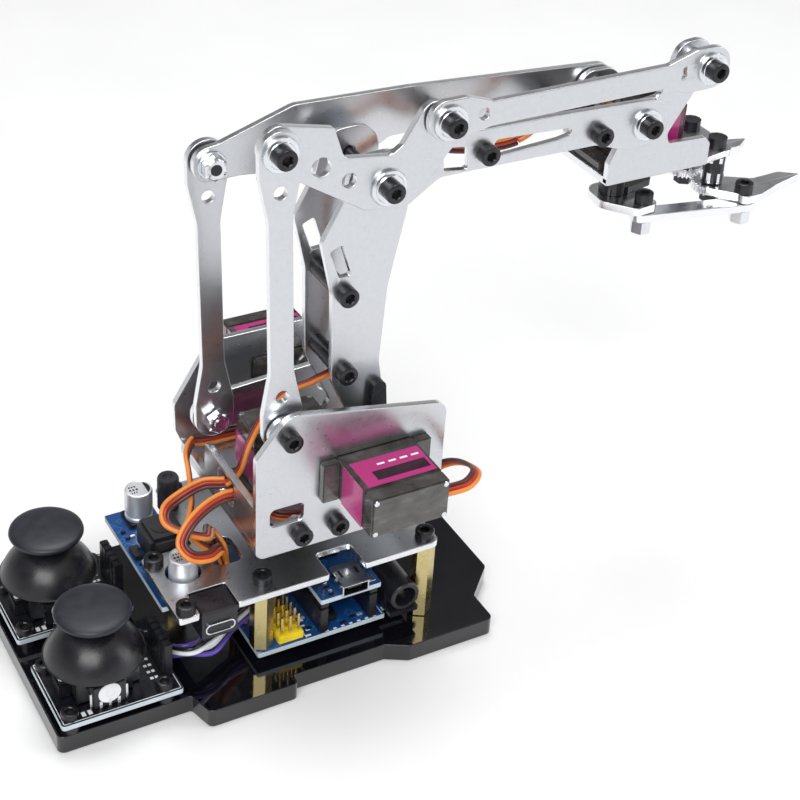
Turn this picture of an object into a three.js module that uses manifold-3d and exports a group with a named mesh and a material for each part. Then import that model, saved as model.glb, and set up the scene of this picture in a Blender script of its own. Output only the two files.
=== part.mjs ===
// Desktop robot arm: four servos, parallel linkages of sheet aluminium, a gripper and two joysticks.
// Millimetres, +X forwards along the arm, +Z up, origin on the table under the yaw axis.
import * as THREE from "three";
import { mergeVertices } from "three/addons/utils/BufferGeometryUtils.js";
import Module from "manifold-3d";

const wasm = await Module();
wasm.setup();

// ---- Driving dimensions -------------------------------------------------------------------
const PLATE = 2; // aluminium sheet
const BASE_TOP = 5.6; // acrylic base plate
const SHOULDER = [13.4, 64.3]; // x, z of the shoulder and elbow-lever axis
const LINK = 80; // pivot to pivot, both arms and the rods
const LEVER = 35; // elbow lever and the rear arm of the forearm
const LEAN = 1.8; // degrees that the lower arm leans back at rest
const RISE = 1.0; // degrees that the forearm rises at rest
const TRIANGLE_REAR = [35, 152.5]; // length and angle of the triangle's rear arm
const TRIANGLE_FRONT = [22, 46.5]; // length and angle of its front arm
const SCREW_R = 1.5; // M3
const WASHER_R = 5;
const HOLE_R = 1.75;

// How finely round things are cut
const ARC_STEP = 30; // degrees
const HEAD_SIDES = 12;
const PIN_SIDES = 8;

// Layers across the arm: the lowest y of each 2 mm sheet.
const Y_SIDE_NEAR = -27.5;
const Y_ROD_NEAR = -23.5;
const Y_TRIANGLE = -21;
const Y_FOREARM_NEAR = -18.5;
const Y_LOWER_NEAR = -16;
const Y_LOWER_FAR = 0;
const Y_BRACKET_FAR = 5;
const Y_FOREARM_FAR = 7.5;
const Y_ROD_FAR = 10.5;
const Y_LEVER = 13.2;
const Y_SIDE_FAR = 24.5;

// Servo case
const CASE = [22.8, 12.2, 18.3];
const TAB = [32.2, 12.2, 2.5];
const CASE_TOP = 3.5;
const SHAFT_OFFSET = 5.9; // shaft from the middle of the case

// Heights of the electronics
const BOARD = 1.6;
const JOYSTICK_BOARD_Z = 8;
const EXPANSION_Z = 8.4;
const CONTROLLER_Z = 21.4;
const POWER_BOARD_Z = 26.1;
const DECK_Z = 30.6;
const FLOOR_Z = 44.5;
const BOARD_TOP = EXPANSION_Z + BOARD + 0.4; // where the leads' plugs stand

// Gripper
const GRIP_Y = -4.5; // middle plane of the forearm and gripper
const GRIP_AXIS_X = 93;
const JAW_PIVOT_X = 123.3;
const JAW_PIVOT_SPACING = 12.4;
const CRANK = [4.6, -8.9]; // crank pin from its axis, and the near jaw's link pin from its pivot
const BRACKET_FLOOR_Z = 127.5;
const JAW_Z = 116;
const BAR_Z = 113.3;
const JAW_T = 2.4;

// ---- Pivots worked out from them ------------------------------------------------------------
const rad = (deg) => (deg * Math.PI) / 180;
const polar = (from, length, deg) => [
  from[0] + length * Math.cos(rad(deg)),
  from[1] + length * Math.sin(rad(deg)),
];
const ELBOW = polar(SHOULDER, LINK, 90 + LEAN);
const WRIST = polar(ELBOW, LINK, RISE);
const ROD_FAR_TOP = polar(ELBOW, LEVER, 180 + RISE);
const ROD_FAR_FOOT = polar(SHOULDER, LEVER, 180 + RISE);
const ROD_NEAR_TOP = polar(ELBOW, ...TRIANGLE_REAR);
const ROD_NEAR_FOOT = polar(SHOULDER, ...TRIANGLE_REAR);
const TRIANGLE_TOP = polar(ELBOW, ...TRIANGLE_FRONT);
const BRACKET_TOP = polar(WRIST, ...TRIANGLE_FRONT);

// ---- Materials --------------------------------------------------------------------------
const mat = (color, roughness, metalness) =>
  new THREE.MeshStandardMaterial({ color, roughness, metalness });
const aluminium = () => mat(0xc9ced6, 0.3, 1);
const blackPlastic = () => mat(0x0b0b0d, 0.5, 0);
const acrylic = () => mat(0x050507, 0.12, 0);
const caseBlack = () => mat(0x3b3636, 0.35, 0);
const screwBlack = () => mat(0x101013, 0.35, 0.9);
const steel = () => mat(0xb9bec6, 0.25, 1);
const brass = () => mat(0xc9a648, 0.3, 1);
const boardBlue = () => mat(0x123f7a, 0.45, 0);
const boardBlack = () => mat(0x0a0b10, 0.45, 0);
const headerYellow = () => mat(0xe0c21c, 0.5, 0);
const leadOrange = () => mat(0xc85a1c, 0.55, 0);

const model = new THREE.Group();
model.name = "desktop_robot_arm";

function add(name, geometry, material, position = [0, 0, 0]) {
  const mesh = new THREE.Mesh(geometry, material);
  mesh.name = name;
  mesh.position.set(...position);
  model.add(mesh);
  return mesh;
}

// ---- Solids: joining and cutting ---------------------------------------------------------
function toSolid(geometry) {
  const bare = geometry.index ? geometry.toNonIndexed() : geometry.clone();
  bare.deleteAttribute("normal");
  bare.deleteAttribute("uv");
  const merged = mergeVertices(bare, 1e-4);
  return new wasm.Manifold(
    new wasm.Mesh({
      numProp: 3,
      vertProperties: merged.attributes.position.array,
      triVerts: new Uint32Array(merged.index.array),
    }),
  );
}

function toGeometry(solid) {
  const mesh = solid.getMesh();
  const geometry = new THREE.BufferGeometry();
  geometry.setAttribute("position", new THREE.BufferAttribute(mesh.vertProperties.slice(), 3));
  geometry.setIndex(new THREE.BufferAttribute(mesh.triVerts.slice(), 1));
  geometry.computeVertexNormals();
  return geometry;
}

function join(...geometries) {
  return toGeometry(geometries.map(toSolid).reduce((whole, piece) => whole.add(piece)));
}

function cut(geometry, ...tools) {
  return toGeometry(tools.map(toSolid).reduce((whole, tool) => whole.subtract(tool), toSolid(geometry)));
}

// A box by its lowest and highest corners.
function box(low, high) {
  const size = high.map((value, i) => value - low[i]);
  const middle = high.map((value, i) => (value + low[i]) / 2);
  return new THREE.BoxGeometry(...size).translate(...middle);
}

// A round bar from z = low to z = high on an upright axis through x, y.
function upright(x, y, radius, low, high, sides = 16) {
  return new THREE.CylinderGeometry(radius, radius, high - low, sides)
    .rotateX(Math.PI / 2)
    .translate(x, y, (low + high) / 2);
}

// A round bar from y = low to y = high on an axis along Y through x, z.
function crosswise([x, z], radius, low, high, sides = 16) {
  return new THREE.CylinderGeometry(radius, radius, high - low, sides).translate(x, (low + high) / 2, z);
}

// ---- Outlines ---------------------------------------------------------------------------
// Corner points, each [x, y] or [x, y, radius]; a radius rounds its corner with an arc.
function outline(points) {
  const shape = new THREE.Shape();
  const count = points.length;
  points.forEach(([x, y, radius = 0], i) => {
    const before = points[(i + count - 1) % count];
    const after = points[(i + 1) % count];
    const corner = new THREE.Vector2(x, y);
    const back = new THREE.Vector2(before[0] - x, before[1] - y).normalize();
    const on = new THREE.Vector2(after[0] - x, after[1] - y).normalize();
    const half = Math.acos(Math.max(-1, Math.min(1, back.dot(on)))) / 2;
    const reach = radius ? radius / Math.tan(half) : 0;
    const start = corner.clone().addScaledVector(back, reach);
    const end = corner.clone().addScaledVector(on, reach);
    if (i === 0) shape.moveTo(start.x, start.y);
    else shape.lineTo(start.x, start.y);
    if (!radius) return;
    const steps = Math.max(2, Math.ceil((Math.PI - 2 * half) / rad(ARC_STEP)));
    const centre = corner.clone().addScaledVector(back.clone().add(on).normalize(), radius / Math.sin(half));
    const from = Math.atan2(start.y - centre.y, start.x - centre.x);
    let sweep = Math.atan2(end.y - centre.y, end.x - centre.x) - from;
    if (sweep > Math.PI) sweep -= 2 * Math.PI;
    if (sweep < -Math.PI) sweep += 2 * Math.PI;
    for (let step = 1; step <= steps; step += 1) {
      const angle = from + (sweep * step) / steps;
      shape.lineTo(centre.x + radius * Math.cos(angle), centre.y + radius * Math.sin(angle));
    }
  });
  return shape;
}

// A round hole, or a round boss when it is used as a shape.
function circle(x, y, radius, sides = 16) {
  const path = new THREE.Shape();
  for (let i = 0; i < sides; i += 1) {
    const angle = (2 * Math.PI * i) / sides;
    const point = [x + radius * Math.cos(angle), y + radius * Math.sin(angle)];
    if (i === 0) path.moveTo(...point);
    else path.lineTo(...point);
  }
  path.closePath();
  return path;
}

function extrude(shape, thickness) {
  return new THREE.ExtrudeGeometry(shape, { depth: thickness, bevelEnabled: false, curveSegments: 6 });
}

// A sheet that stands along the arm: outline in x, z, and its lowest y.
function standing(shape, low, thickness = PLATE) {
  return extrude(shape, thickness).rotateX(Math.PI / 2).translate(0, low + thickness, 0);
}

// A sheet that lies flat: outline in x, y, and its lowest z.
function flat(shape, low, thickness = PLATE) {
  return extrude(shape, thickness).translate(0, 0, low);
}

function withHoles(shape, holes) {
  shape.holes.push(...holes);
  return shape;
}

// Turns a point of a link's own drawing, with its first pivot at 0, 0, into the arm's x, z.
function place([x, z], pivot, deg) {
  const c = Math.cos(rad(deg));
  const s = Math.sin(rad(deg));
  return [pivot[0] + x * c - z * s, pivot[1] + x * s + z * c];
}

function placeAll(points, pivot, deg) {
  return points.map(([x, z, radius]) => [...place([x, z], pivot, deg), radius]);
}

// ---- Servos -----------------------------------------------------------------------------
// Shaft on +Z, seat of the mounting tabs at z = 0, long end of the case towards -X.
function servo() {
  const [length, width, depth] = CASE;
  const middle = -SHAFT_OFFSET;
  const body = box(
    [middle - length / 2, -width / 2, -TAB[2] - depth],
    [middle + length / 2, width / 2, CASE_TOP],
  );
  const tabs = box([middle - TAB[0] / 2, -width / 2, -TAB[2]], [middle + TAB[0] / 2, width / 2, 0]);
  const hump = upright(0, 0, 5.8, CASE_TOP - 0.1, CASE_TOP + 2, 20);
  const shaft = upright(0, 0, 2, CASE_TOP + 1.9, CASE_TOP + 5, 12);
  const holes = [-1, 1].map((side) => upright(middle + side * 13.9, 0, 1.1, -TAB[2] - 1, 1, 10));
  return cut(join(body, tabs, hump, shaft), ...holes);
}

// Opening in a sheet for the case of a servo whose shaft is at x, y.
function servoOpening([x, y], towards = -1) {
  const middle = x + towards * SHAFT_OFFSET;
  const [halfLength, halfWidth] = [CASE[0] / 2 + 0.3, CASE[1] / 2 + 0.3];
  return outline([
    [middle - halfLength, y - halfWidth],
    [middle + halfLength, y - halfWidth],
    [middle + halfLength, y + halfWidth],
    [middle - halfLength, y + halfWidth],
  ]);
}

// ---- Base and deck ----------------------------------------------------------------------
function basePlate() {
  const front = [
    [-83.5, -30, 2],
    [-46.2, -30, 1],
    [-44, -38, 2],
    [-18, -38, 1.5],
    [-17.8, -34.5, 0.8],
    [10.5, -34.5, 1.5],
    [16.8, -38, 2],
    [44.4, -38, 2],
    [44.4, -27, 1.5],
    [54.3, -17, 2],
  ];
  const back = front
    .slice(3)
    .reverse()
    .map(([x, y, radius]) => [x, -y, radius]);
  const rearLeft = [
    [-44, 38, 2],
    [-46.2, 35, 1],
    [-83.5, 35, 2],
  ];
  return flat(outline([...front, ...back, ...rearLeft]), 0, BASE_TOP);
}

const STANDOFFS = [
  [-22.8, -23.8, EXPANSION_Z + BOARD],
  [26.5, -25.6, BASE_TOP],
  [26.5, 22, BASE_TOP],
  [-29.6, 22, BASE_TOP],
];

function deckPlate() {
  const shape = outline([
    [-49.2, -29.3, 1],
    [-43.2, -29.3, 0.6],
    [-43.2, -20.2, 0.8],
    [-32.2, -20.2, 0.8],
    [-32.2, -29.3, 0.6],
    [-5, -29.3, 0.6],
    [-5, -19.6, 1.5],
    [6, -19.6, 1.5],
    [6, -29.3, 0.6],
    [29.6, -29.3, 2.5],
    [29.6, 26, 2],
    [-34, 26, 1.5],
    [-34, -1.7, 1],
    [-49.2, -1.7, 1.5],
  ]);
  const screwHoles = STANDOFFS.map(([x, y]) => circle(x, y, HOLE_R, PIN_SIDES));
  const capacitorHole = circle(-40.6, -11.4, 4.9, 20);
  const leadHole = outline([
    [-31.8, -13.4, 2.6],
    [-23.2, -13.4, 2.6],
    [-23.2, -2, 2.6],
    [-31.8, -2, 2.6],
  ]);
  return flat(withHoles(shape, [...screwHoles, capacitorHole, leadHole]), DECK_Z);
}

function buildBase() {
  add("base_plate", basePlate(), acrylic());
  add("deck_plate", deckPlate(), aluminium());
  STANDOFFS.forEach(([x, y, foot], i) => {
    add(`standoff_${i + 1}`, upright(x, y, 2.9, foot, DECK_Z, 6), brass());
  });
  const pedestal = join(
    upright(0, 0, 9, DECK_Z + PLATE, DECK_Z + PLATE + 2.5, 24),
    upright(0, 0, 4, DECK_Z + PLATE + 2.4, FLOOR_Z - 6.6, 20),
  );
  add("yaw_pedestal", pedestal, blackPlastic());
}

// ---- Electronics ------------------------------------------------------------------------
function expansionBoard() {
  const shape = outline([
    [-25.2, -27.3],
    [14.2, -27.3],
    [14.2, -24.4],
    [22.6, -24.4],
    [22.6, 19],
    [-25.2, 19],
  ]);
  return flat(shape, EXPANSION_Z, BOARD);
}

// Three rows of pins in one moulded block.
function servoHeader() {
  const pitch = 2.54;
  const [left, front, rows] = [-18.6, -26.6, 5];
  const foot = EXPANSION_Z + BOARD;
  const block = box([left, front, foot], [left + 3 * pitch, front + rows * pitch, foot + 2.5]);
  const pins = [];
  for (let column = 0; column < 3; column += 1) {
    for (let row = 0; row < rows; row += 1) {
      const [x, y] = [left + (column + 0.5) * pitch, front + (row + 0.5) * pitch];
      pins.push(box([x - 0.32, y - 0.32, foot + 2.4], [x + 0.32, y + 0.32, foot + 8.5]));
    }
  }
  return join(block, ...pins);
}

function powerJack() {
  const foot = EXPANSION_Z + BOARD;
  const body = box([14.5, -30, foot], [23.5, -17, foot + 10.8]);
  return cut(body, crosswise([19, foot + 6.4], 3.1, -31, -21, 20));
}

function usbModule() {
  const body = box([-42.9, -29.6, 23.4], [-32.5, -20.6, 32.2]);
  const mouth = box([-41.4, -31, 25.4], [-34, -23, 28.2]);
  return cut(body, mouth);
}

function capacitor([x, y]) {
  const foot = POWER_BOARD_Z + BOARD;
  return upright(x, y, 4, foot, foot + 10.5, 20);
}

function buildElectronics() {
  add("expansion_board", expansionBoard(), boardBlue());
  add("servo_header", servoHeader(), headerYellow());
  add("power_jack", powerJack(), blackPlastic());
  add("controller_board", box([-6.8, -28.2, CONTROLLER_Z], [12, 17, CONTROLLER_Z + BOARD]), boardBlue());
  add("power_board", box([-49.2, -17.5, POWER_BOARD_Z], [-35, 26, POWER_BOARD_Z + BOARD]), boardBlue());
  add("usb_module", usbModule(), blackPlastic());
  add("capacitor_near", capacitor([-40.6, -11.4]), aluminium());
  add("capacitor_far", capacitor([-40.6, 21]), aluminium());
}

// ---- Joysticks --------------------------------------------------------------------------
const JOYSTICK_BOARD = [34, 26];
const STICK = [-68.6, 13]; // x of both sticks, and how far each is from its board's front edge
const GIMBAL_Z = JOYSTICK_BOARD_Z + BOARD + 6.8;
const DOME_R = 13.9;

function joystickBoard(front) {
  const left = -82.4;
  const [length, width] = JOYSTICK_BOARD;
  const corners = [
    [left, front, 1],
    [left + length, front, 1],
    [left + length, front + width, 1],
    [left, front + width, 1],
  ];
  const holes = [];
  for (const x of [left + 3, left + length - 4.5]) {
    for (const y of [front + 3, front + width - 3]) holes.push(circle(x, y, 1.6, PIN_SIDES));
  }
  return flat(withHoles(outline(corners), holes), JOYSTICK_BOARD_Z, BOARD);
}

// Open box with the cross inside, a potentiometer on two sides and the press switch on a third.
function joystickHousing(x, y) {
  const foot = JOYSTICK_BOARD_Z + BOARD;
  const half = 7.8;
  const outer = box([x - half, y - half, foot], [x + half, y + half, GIMBAL_Z + 5]);
  const front = box([x - 5, y - 11.2, foot], [x + 5, y - half + 0.1, GIMBAL_Z + 1.4]);
  const side = box([x + half - 0.1, y - 5, foot], [x + 11.2, y + 5, GIMBAL_Z + 1.4]);
  const press = box([x - 11, y - 3, foot], [x - half + 0.1, y + 3, foot + 4.5]);
  const hollow = box([x - 6.5, y - 6.5, foot + 1.5], [x + 6.5, y + 6.5, GIMBAL_Z + 6]);
  return cut(join(outer, front, side, press), hollow);
}

// A square ring that swings on pins along X.
function joystickCross(x, y) {
  const ring = cut(
    box([x - 5, y - 5, GIMBAL_Z - 1.2], [x + 5, y + 5, GIMBAL_Z + 1.2]),
    box([x - 3.4, y - 3.4, GIMBAL_Z - 2], [x + 3.4, y + 3.4, GIMBAL_Z + 2]),
  );
  const pin = (from, to) =>
    new THREE.CylinderGeometry(0.9, 0.9, to - from, 10)
      .rotateZ(Math.PI / 2)
      .translate(x + (from + to) / 2, y, GIMBAL_Z);
  return join(ring, pin(-6.3, -4.9), pin(4.9, 6.3));
}

// Spherical skirt on a hollow stem that swings in the cross on pins along Y.
function joystickDome(x, y) {
  const inner = DOME_R - 1.3;
  const rim = 0.29; // angle of the rim above the gimbal's plane
  const rings = 5;
  const profile = [];
  for (let i = 0; i <= rings; i += 1) {
    const angle = rim + ((Math.PI / 2 - rim) * i) / rings;
    profile.push([DOME_R * Math.cos(angle), DOME_R * Math.sin(angle)]);
  }
  for (let i = rings; i >= 0; i -= 1) {
    const angle = rim + ((Math.PI / 2 - rim) * i) / rings;
    profile.push([inner * Math.cos(angle), inner * Math.sin(angle)]);
  }
  profile.push(profile[0]);
  const skirt = new THREE.LatheGeometry(
    profile.map(([r, z]) => new THREE.Vector2(Math.max(r, 0), z)),
    20,
  )
    .rotateX(Math.PI / 2)
    .translate(x, y, GIMBAL_Z);
  const hub = upright(x, y, 3.6, GIMBAL_Z + 5.2, GIMBAL_Z + DOME_R + 0.6, 16);
  const stem = upright(x, y, 1.6, GIMBAL_Z - 1.2, GIMBAL_Z + 5.4, 12);
  const pins = crosswise([x, GIMBAL_Z], 0.7, y - 3.2, y + 3.2, 8);
  const bore = upright(x, y, 2.5, GIMBAL_Z + 6.4, GIMBAL_Z + DOME_R + 2, 16);
  return cut(join(skirt, hub, stem, pins), bore);
}

// Mushroom cap on a short stem that slides in the dome's bore.
function joystickCap(x, y) {
  const foot = GIMBAL_Z + 7.6;
  const top = GIMBAL_Z + 19.4;
  const profile = [
    [0, foot],
    [2.2, foot],
    [2.2, GIMBAL_Z + DOME_R + 1.4],
    [4.4, GIMBAL_Z + DOME_R + 1.4],
    [6.6, top - 2.9],
    [9.9, top - 1.9],
    [10.3, top - 1.1],
    [9.9, top - 0.5],
    [7, top],
    [0, top - 0.4],
  ];
  return new THREE.LatheGeometry(
    profile.map(([r, z]) => new THREE.Vector2(r, z)),
    18,
  )
    .rotateX(Math.PI / 2)
    .translate(x, y, 0);
}

function buildJoysticks() {
  for (const [side, front] of [["near", -30.4], ["far", 5.8]]) {
    const [x, y] = [STICK[0], front + STICK[1]];
    add(`joystick_board_${side}`, joystickBoard(front), boardBlack());
    add(`joystick_housing_${side}`, joystickHousing(x, y), caseBlack());
    add(`joystick_cross_${side}`, joystickCross(x, y), steel());
    add(`joystick_dome_${side}`, joystickDome(x, y), blackPlastic());
    add(`joystick_cap_${side}`, joystickCap(x, y), blackPlastic());
  }
}

// ---- Turret -----------------------------------------------------------------------------
function sideNear() {
  const shape = outline([
    [-25, 43.3, 2],
    [29, 43.3, 2],
    [29.3, 78.6, 4],
    [-17.8, 87.6, 6],
    [-27, 75.8, 2],
    [-26.6, 45, 1.5],
  ]);
  const slot = outline([
    [-22.6, 52.8, 1.2],
    [-12.8, 52.8, 1.2],
    [-12.8, 58.6, 1.2],
    [-22.6, 58.6, 1.2],
  ]);
  const screwHoles = [-13.8, -3].map((x) => circle(x, 48.8, HOLE_R, PIN_SIDES));
  const holes = [slot, servoOpening(SHOULDER), circle(...ROD_NEAR_FOOT, HOLE_R, PIN_SIDES), ...screwHoles];
  return standing(withHoles(shape, holes), Y_SIDE_NEAR);
}

function sideFar() {
  const shape = outline([
    [-24, 43.3, 2],
    [29, 43.3, 2],
    [29.3, 74, 3],
    [22, 79.4, 2],
    [-17, 79.4, 3],
    [-28, 61, 2],
    [-27.6, 52, 2],
  ]);
  return standing(withHoles(shape, [servoOpening(SHOULDER)]), Y_SIDE_FAR);
}

// Upright sheet across the rear, with a notch for the elbow lever and a hole for the leads.
function backPlate() {
  const notch = [8, FLOOR_Z + PLATE + 1.6];
  const top = 58.5;
  const shape = outline([
    [Y_SIDE_NEAR + PLATE, FLOOR_Z + PLATE],
    [Y_SIDE_FAR, FLOOR_Z + PLATE],
    [Y_SIDE_FAR, notch[1]],
    notch,
    [notch[0], top],
    [Y_SIDE_NEAR + PLATE, top],
  ]);
  const leadHole = outline([
    [-11.8, 49.4, 2],
    [-1, 49.4, 2],
    [-1, 57, 2],
    [-11.8, 57, 2],
  ]);
  return extrude(withHoles(shape, [leadHole]), PLATE)
    .rotateX(Math.PI / 2)
    .rotateZ(Math.PI / 2)
    .translate(-26, 0, 0);
}

function turretFloor() {
  const shape = outline([
    [-26, Y_SIDE_NEAR + PLATE],
    [27, Y_SIDE_NEAR + PLATE],
    [27, Y_SIDE_FAR],
    [-26, Y_SIDE_FAR],
  ]);
  return flat(withHoles(shape, [servoOpening([0, 0])]), FLOOR_Z);
}

function buildTurret() {
  add("turret_floor", turretFloor(), aluminium());
  add("side_plate_near", sideNear(), aluminium());
  add("side_plate_far", sideFar(), aluminium());
  add("back_plate", backPlate(), aluminium());
  const [x, z] = SHOULDER;
  add("shoulder_servo", servo().rotateX(-Math.PI / 2), caseBlack(), [x, Y_SIDE_NEAR, z]);
  add("elbow_servo", servo().rotateX(Math.PI / 2), caseBlack(), [x, Y_SIDE_FAR + PLATE, z]);
  add("yaw_servo", servo().rotateX(Math.PI), caseBlack(), [0, 0, FLOOR_Z + PLATE]);
}

// ---- Lower arm and rods -----------------------------------------------------------------
// Drawn upright from the shoulder, x forwards.
const LOWER_SIDE = [
  [-5.2, -3, 3],
  [6.4, -3, 3],
  [3, 14, 8],
  [1.4, 25, 8],
  [3.4, 47.5, 20],
  [8.6, 69.4, 8],
  [8.6, 87, 7],
  [-7, 87, 7],
  [-9.8, 75.3, 1],
  [-15.8, 64.7, 2.5],
  [-12.7, 49, 8],
  [-12.7, 22, 5],
  [-5.2, 4.5, 4],
];
const LOWER_SPACERS = [
  [-9, 48.5],
  [-9, 24.4],
];

function lowerArm(low, pivotR) {
  const boss = toSolid(standing(circle(...SHOULDER, 6.6, 20), low));
  const shape = outline(placeAll(LOWER_SIDE, SHOULDER, LEAN));
  const side = toSolid(standing(shape, low));
  const drawing = [
    [-13.4, 61.9, 0.5],
    [-10, 63.2, 0.5],
    [-7.2, 53.6, 0.5],
    [-10.7, 53.5, 0.5],
  ];
  const slot = placeAll(drawing, SHOULDER, LEAN);
  const cutters = [
    standing(outline(slot), low - 1, PLATE + 2),
    crosswise(SHOULDER, pivotR, low - 1, low + PLATE + 1),
    crosswise(ELBOW, HOLE_R, low - 1, low + PLATE + 1, PIN_SIDES),
    ...LOWER_SPACERS.map((p) => crosswise(place(p, SHOULDER, LEAN), HOLE_R, low - 1, low + PLATE + 1, PIN_SIDES)),
  ];
  return toGeometry(cutters.map(toSolid).reduce((whole, tool) => whole.subtract(tool), side.add(boss)));
}

// Screw with its head on the near face and a thick spacer between two sheets.
function spacerScrew([x, z], nearFace, inner, far) {
  return join(
    crosswise([x, z], 2.75, nearFace - 3, nearFace, HEAD_SIDES),
    crosswise([x, z], SCREW_R, nearFace - 0.1, far, PIN_SIDES),
    crosswise([x, z], 2.6, inner + 0.05, far - PLATE - 0.05, HEAD_SIDES),
  );
}

// Two-ended link with round ends, a slimmer waist and a small hole near each end.
function rod(foot, top, low) {
  const length = Math.hypot(top[0] - foot[0], top[1] - foot[1]);
  const deg = (Math.atan2(top[1] - foot[1], top[0] - foot[0]) * 180) / Math.PI - 90;
  const [end, waist] = [5.7, 3.3];
  const side = [
    [-waist, 18, 12],
    [-end + 0.1, 6, 4],
    [-end + 0.1, -end, 5.5],
    [end - 0.1, -end, 5.5],
    [end - 0.1, 6, 4],
    [waist, 18, 12],
  ];
  const mirrored = [...side].reverse().map(([x, z, radius]) => [x, length - z, radius]);
  const shape = outline(placeAll([...side, ...mirrored], foot, deg));
  const holes = [
    circle(...foot, HOLE_R, PIN_SIDES),
    circle(...top, HOLE_R, PIN_SIDES),
    circle(...place([0, 10.5], foot, deg), 1.8, 10),
    circle(...place([0, length - 10.5], foot, deg), 1.8, 10),
  ];
  return standing(withHoles(shape, holes), low);
}

function elbowLever() {
  const shape = outline(
    placeAll(
      [
        [-LEVER - 5.6, -5.6, 5.4],
        [0, -7.6, 3],
        [7.6, -7.6, 7],
        [7.6, 7.6, 7],
        [0, 7.6, 3],
        [-LEVER - 5.6, 5.6, 5.4],
      ],
      SHOULDER,
      RISE,
    ),
  );
  const holes = [circle(...SHOULDER, 2.2, 14), circle(...ROD_FAR_FOOT, HOLE_R, PIN_SIDES)];
  return standing(withHoles(shape, holes), Y_LEVER);
}

function shoulderHorn() {
  const [x, z] = SHOULDER;
  const near = Y_LOWER_NEAR - 2.2;
  const arm = standing(
    outline([
      [x - 3.4, z, 0],
      [x + 3.4, z, 0],
      [x + 1.9, z + 19.5, 1.8],
      [x - 1.9, z + 19.5, 1.8],
    ]),
    near,
    2.15,
  );
  const hub = crosswise(SHOULDER, 3.6, Y_SIDE_NEAR + CASE_TOP + 2.3, near + 2.15, 20);
  const bore = crosswise(SHOULDER, 2.25, Y_SIDE_NEAR, Y_SIDE_NEAR + CASE_TOP + 5.3, 14);
  return cut(join(arm, hub), bore);
}

function buildLowerArm() {
  add("lower_arm_near", lowerArm(Y_LOWER_NEAR, 1.6), aluminium());
  add("lower_arm_far", lowerArm(Y_LOWER_FAR, 1.6), aluminium());
  add("shoulder_horn", shoulderHorn(), blackPlastic());
  LOWER_SPACERS.forEach((p, i) => {
    const at = place(p, SHOULDER, LEAN);
    const piece = spacerScrew(at, Y_LOWER_NEAR, Y_LOWER_NEAR + PLATE, Y_LOWER_FAR + PLATE);
    add(`lower_arm_spacer_${i + 1}`, piece, screwBlack());
  });
  const elbowScrew = join(
    crosswise(ELBOW, 2.75, Y_TRIANGLE - 4.3, Y_TRIANGLE - 1.3, HEAD_SIDES),
    crosswise(ELBOW, SCREW_R, Y_TRIANGLE - 1.4, Y_FOREARM_FAR + PLATE + 2.6, PIN_SIDES),
    crosswise(ELBOW, 4.6, Y_TRIANGLE - 1.3, Y_TRIANGLE - 0.2, HEAD_SIDES),
  );
  add("elbow_screw", elbowScrew, screwBlack());
  add("level_rod", rod(ROD_NEAR_FOOT, ROD_NEAR_TOP, Y_ROD_NEAR), aluminium());
  add("drive_rod", rod(ROD_FAR_FOOT, ROD_FAR_TOP, Y_ROD_FAR), aluminium());
  add("elbow_lever", elbowLever(), aluminium());
  const pin = join(
    crosswise(ROD_FAR_FOOT, 3.1, Y_ROD_FAR - 2.9, Y_ROD_FAR - 0.4, 6),
    crosswise(ROD_FAR_FOOT, WASHER_R, Y_ROD_FAR - 1.4, Y_ROD_FAR - 0.4, HEAD_SIDES),
    crosswise(ROD_FAR_FOOT, SCREW_R, Y_ROD_FAR - 0.5, Y_LEVER + PLATE + 0.3, PIN_SIDES),
    crosswise(ROD_FAR_FOOT, WASHER_R, Y_LEVER + PLATE + 0.2, Y_LEVER + PLATE + 1.4, HEAD_SIDES),
    crosswise(ROD_FAR_FOOT, 2.75, Y_LEVER + PLATE + 0.2, Y_LEVER + PLATE + 3.2, HEAD_SIDES),
  );
  add("lever_pin", pin, steel());
}

// ---- Elbow triangle, forearm and top link --------------------------------------------------
function elbowTriangle() {
  const rear = [ROD_NEAR_TOP[0] - ELBOW[0], ROD_NEAR_TOP[1] - ELBOW[1]];
  const front = [TRIANGLE_TOP[0] - ELBOW[0], TRIANGLE_TOP[1] - ELBOW[1]];
  const shape = outline(
    placeAll(
      [
        [6, -6.5, 6],
        [-6, -5.5, 5],
        [-12, -1.8, 1],
        [rear[0] + 4, rear[1] - 8.5, 6],
        [rear[0] - 7, rear[1] - 1, 5],
        [rear[0] - 1, rear[1] + 6.4, 5],
        [-15.6, 19, 1],
        [-12.6, 10.4, 2],
        [0.4, 8.6, 2],
        [3.4, 10.6, 2],
        [front[0] - 5, front[1] + 5.6, 5],
        [front[0] + 6, front[1] + 4, 5],
        [front[0] + 4, front[1] - 7, 5],
      ],
      ELBOW,
      0,
    ),
  );
  const holes = [
    circle(...ELBOW, HOLE_R, PIN_SIDES),
    circle(...ROD_NEAR_TOP, HOLE_R, PIN_SIDES),
    circle(...TRIANGLE_TOP, HOLE_R, PIN_SIDES),
    circle(...place([-18.8, 9], ELBOW, 0), 2.6, 14),
    circle(...place([-11, 3.9], ELBOW, 0), 2, 12),
  ];
  return standing(withHoles(shape, holes), Y_TRIANGLE);
}

const FOREARM_SPACERS = [
  [29.6, 2.2],
  [64.8, 0.3],
];

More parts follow.
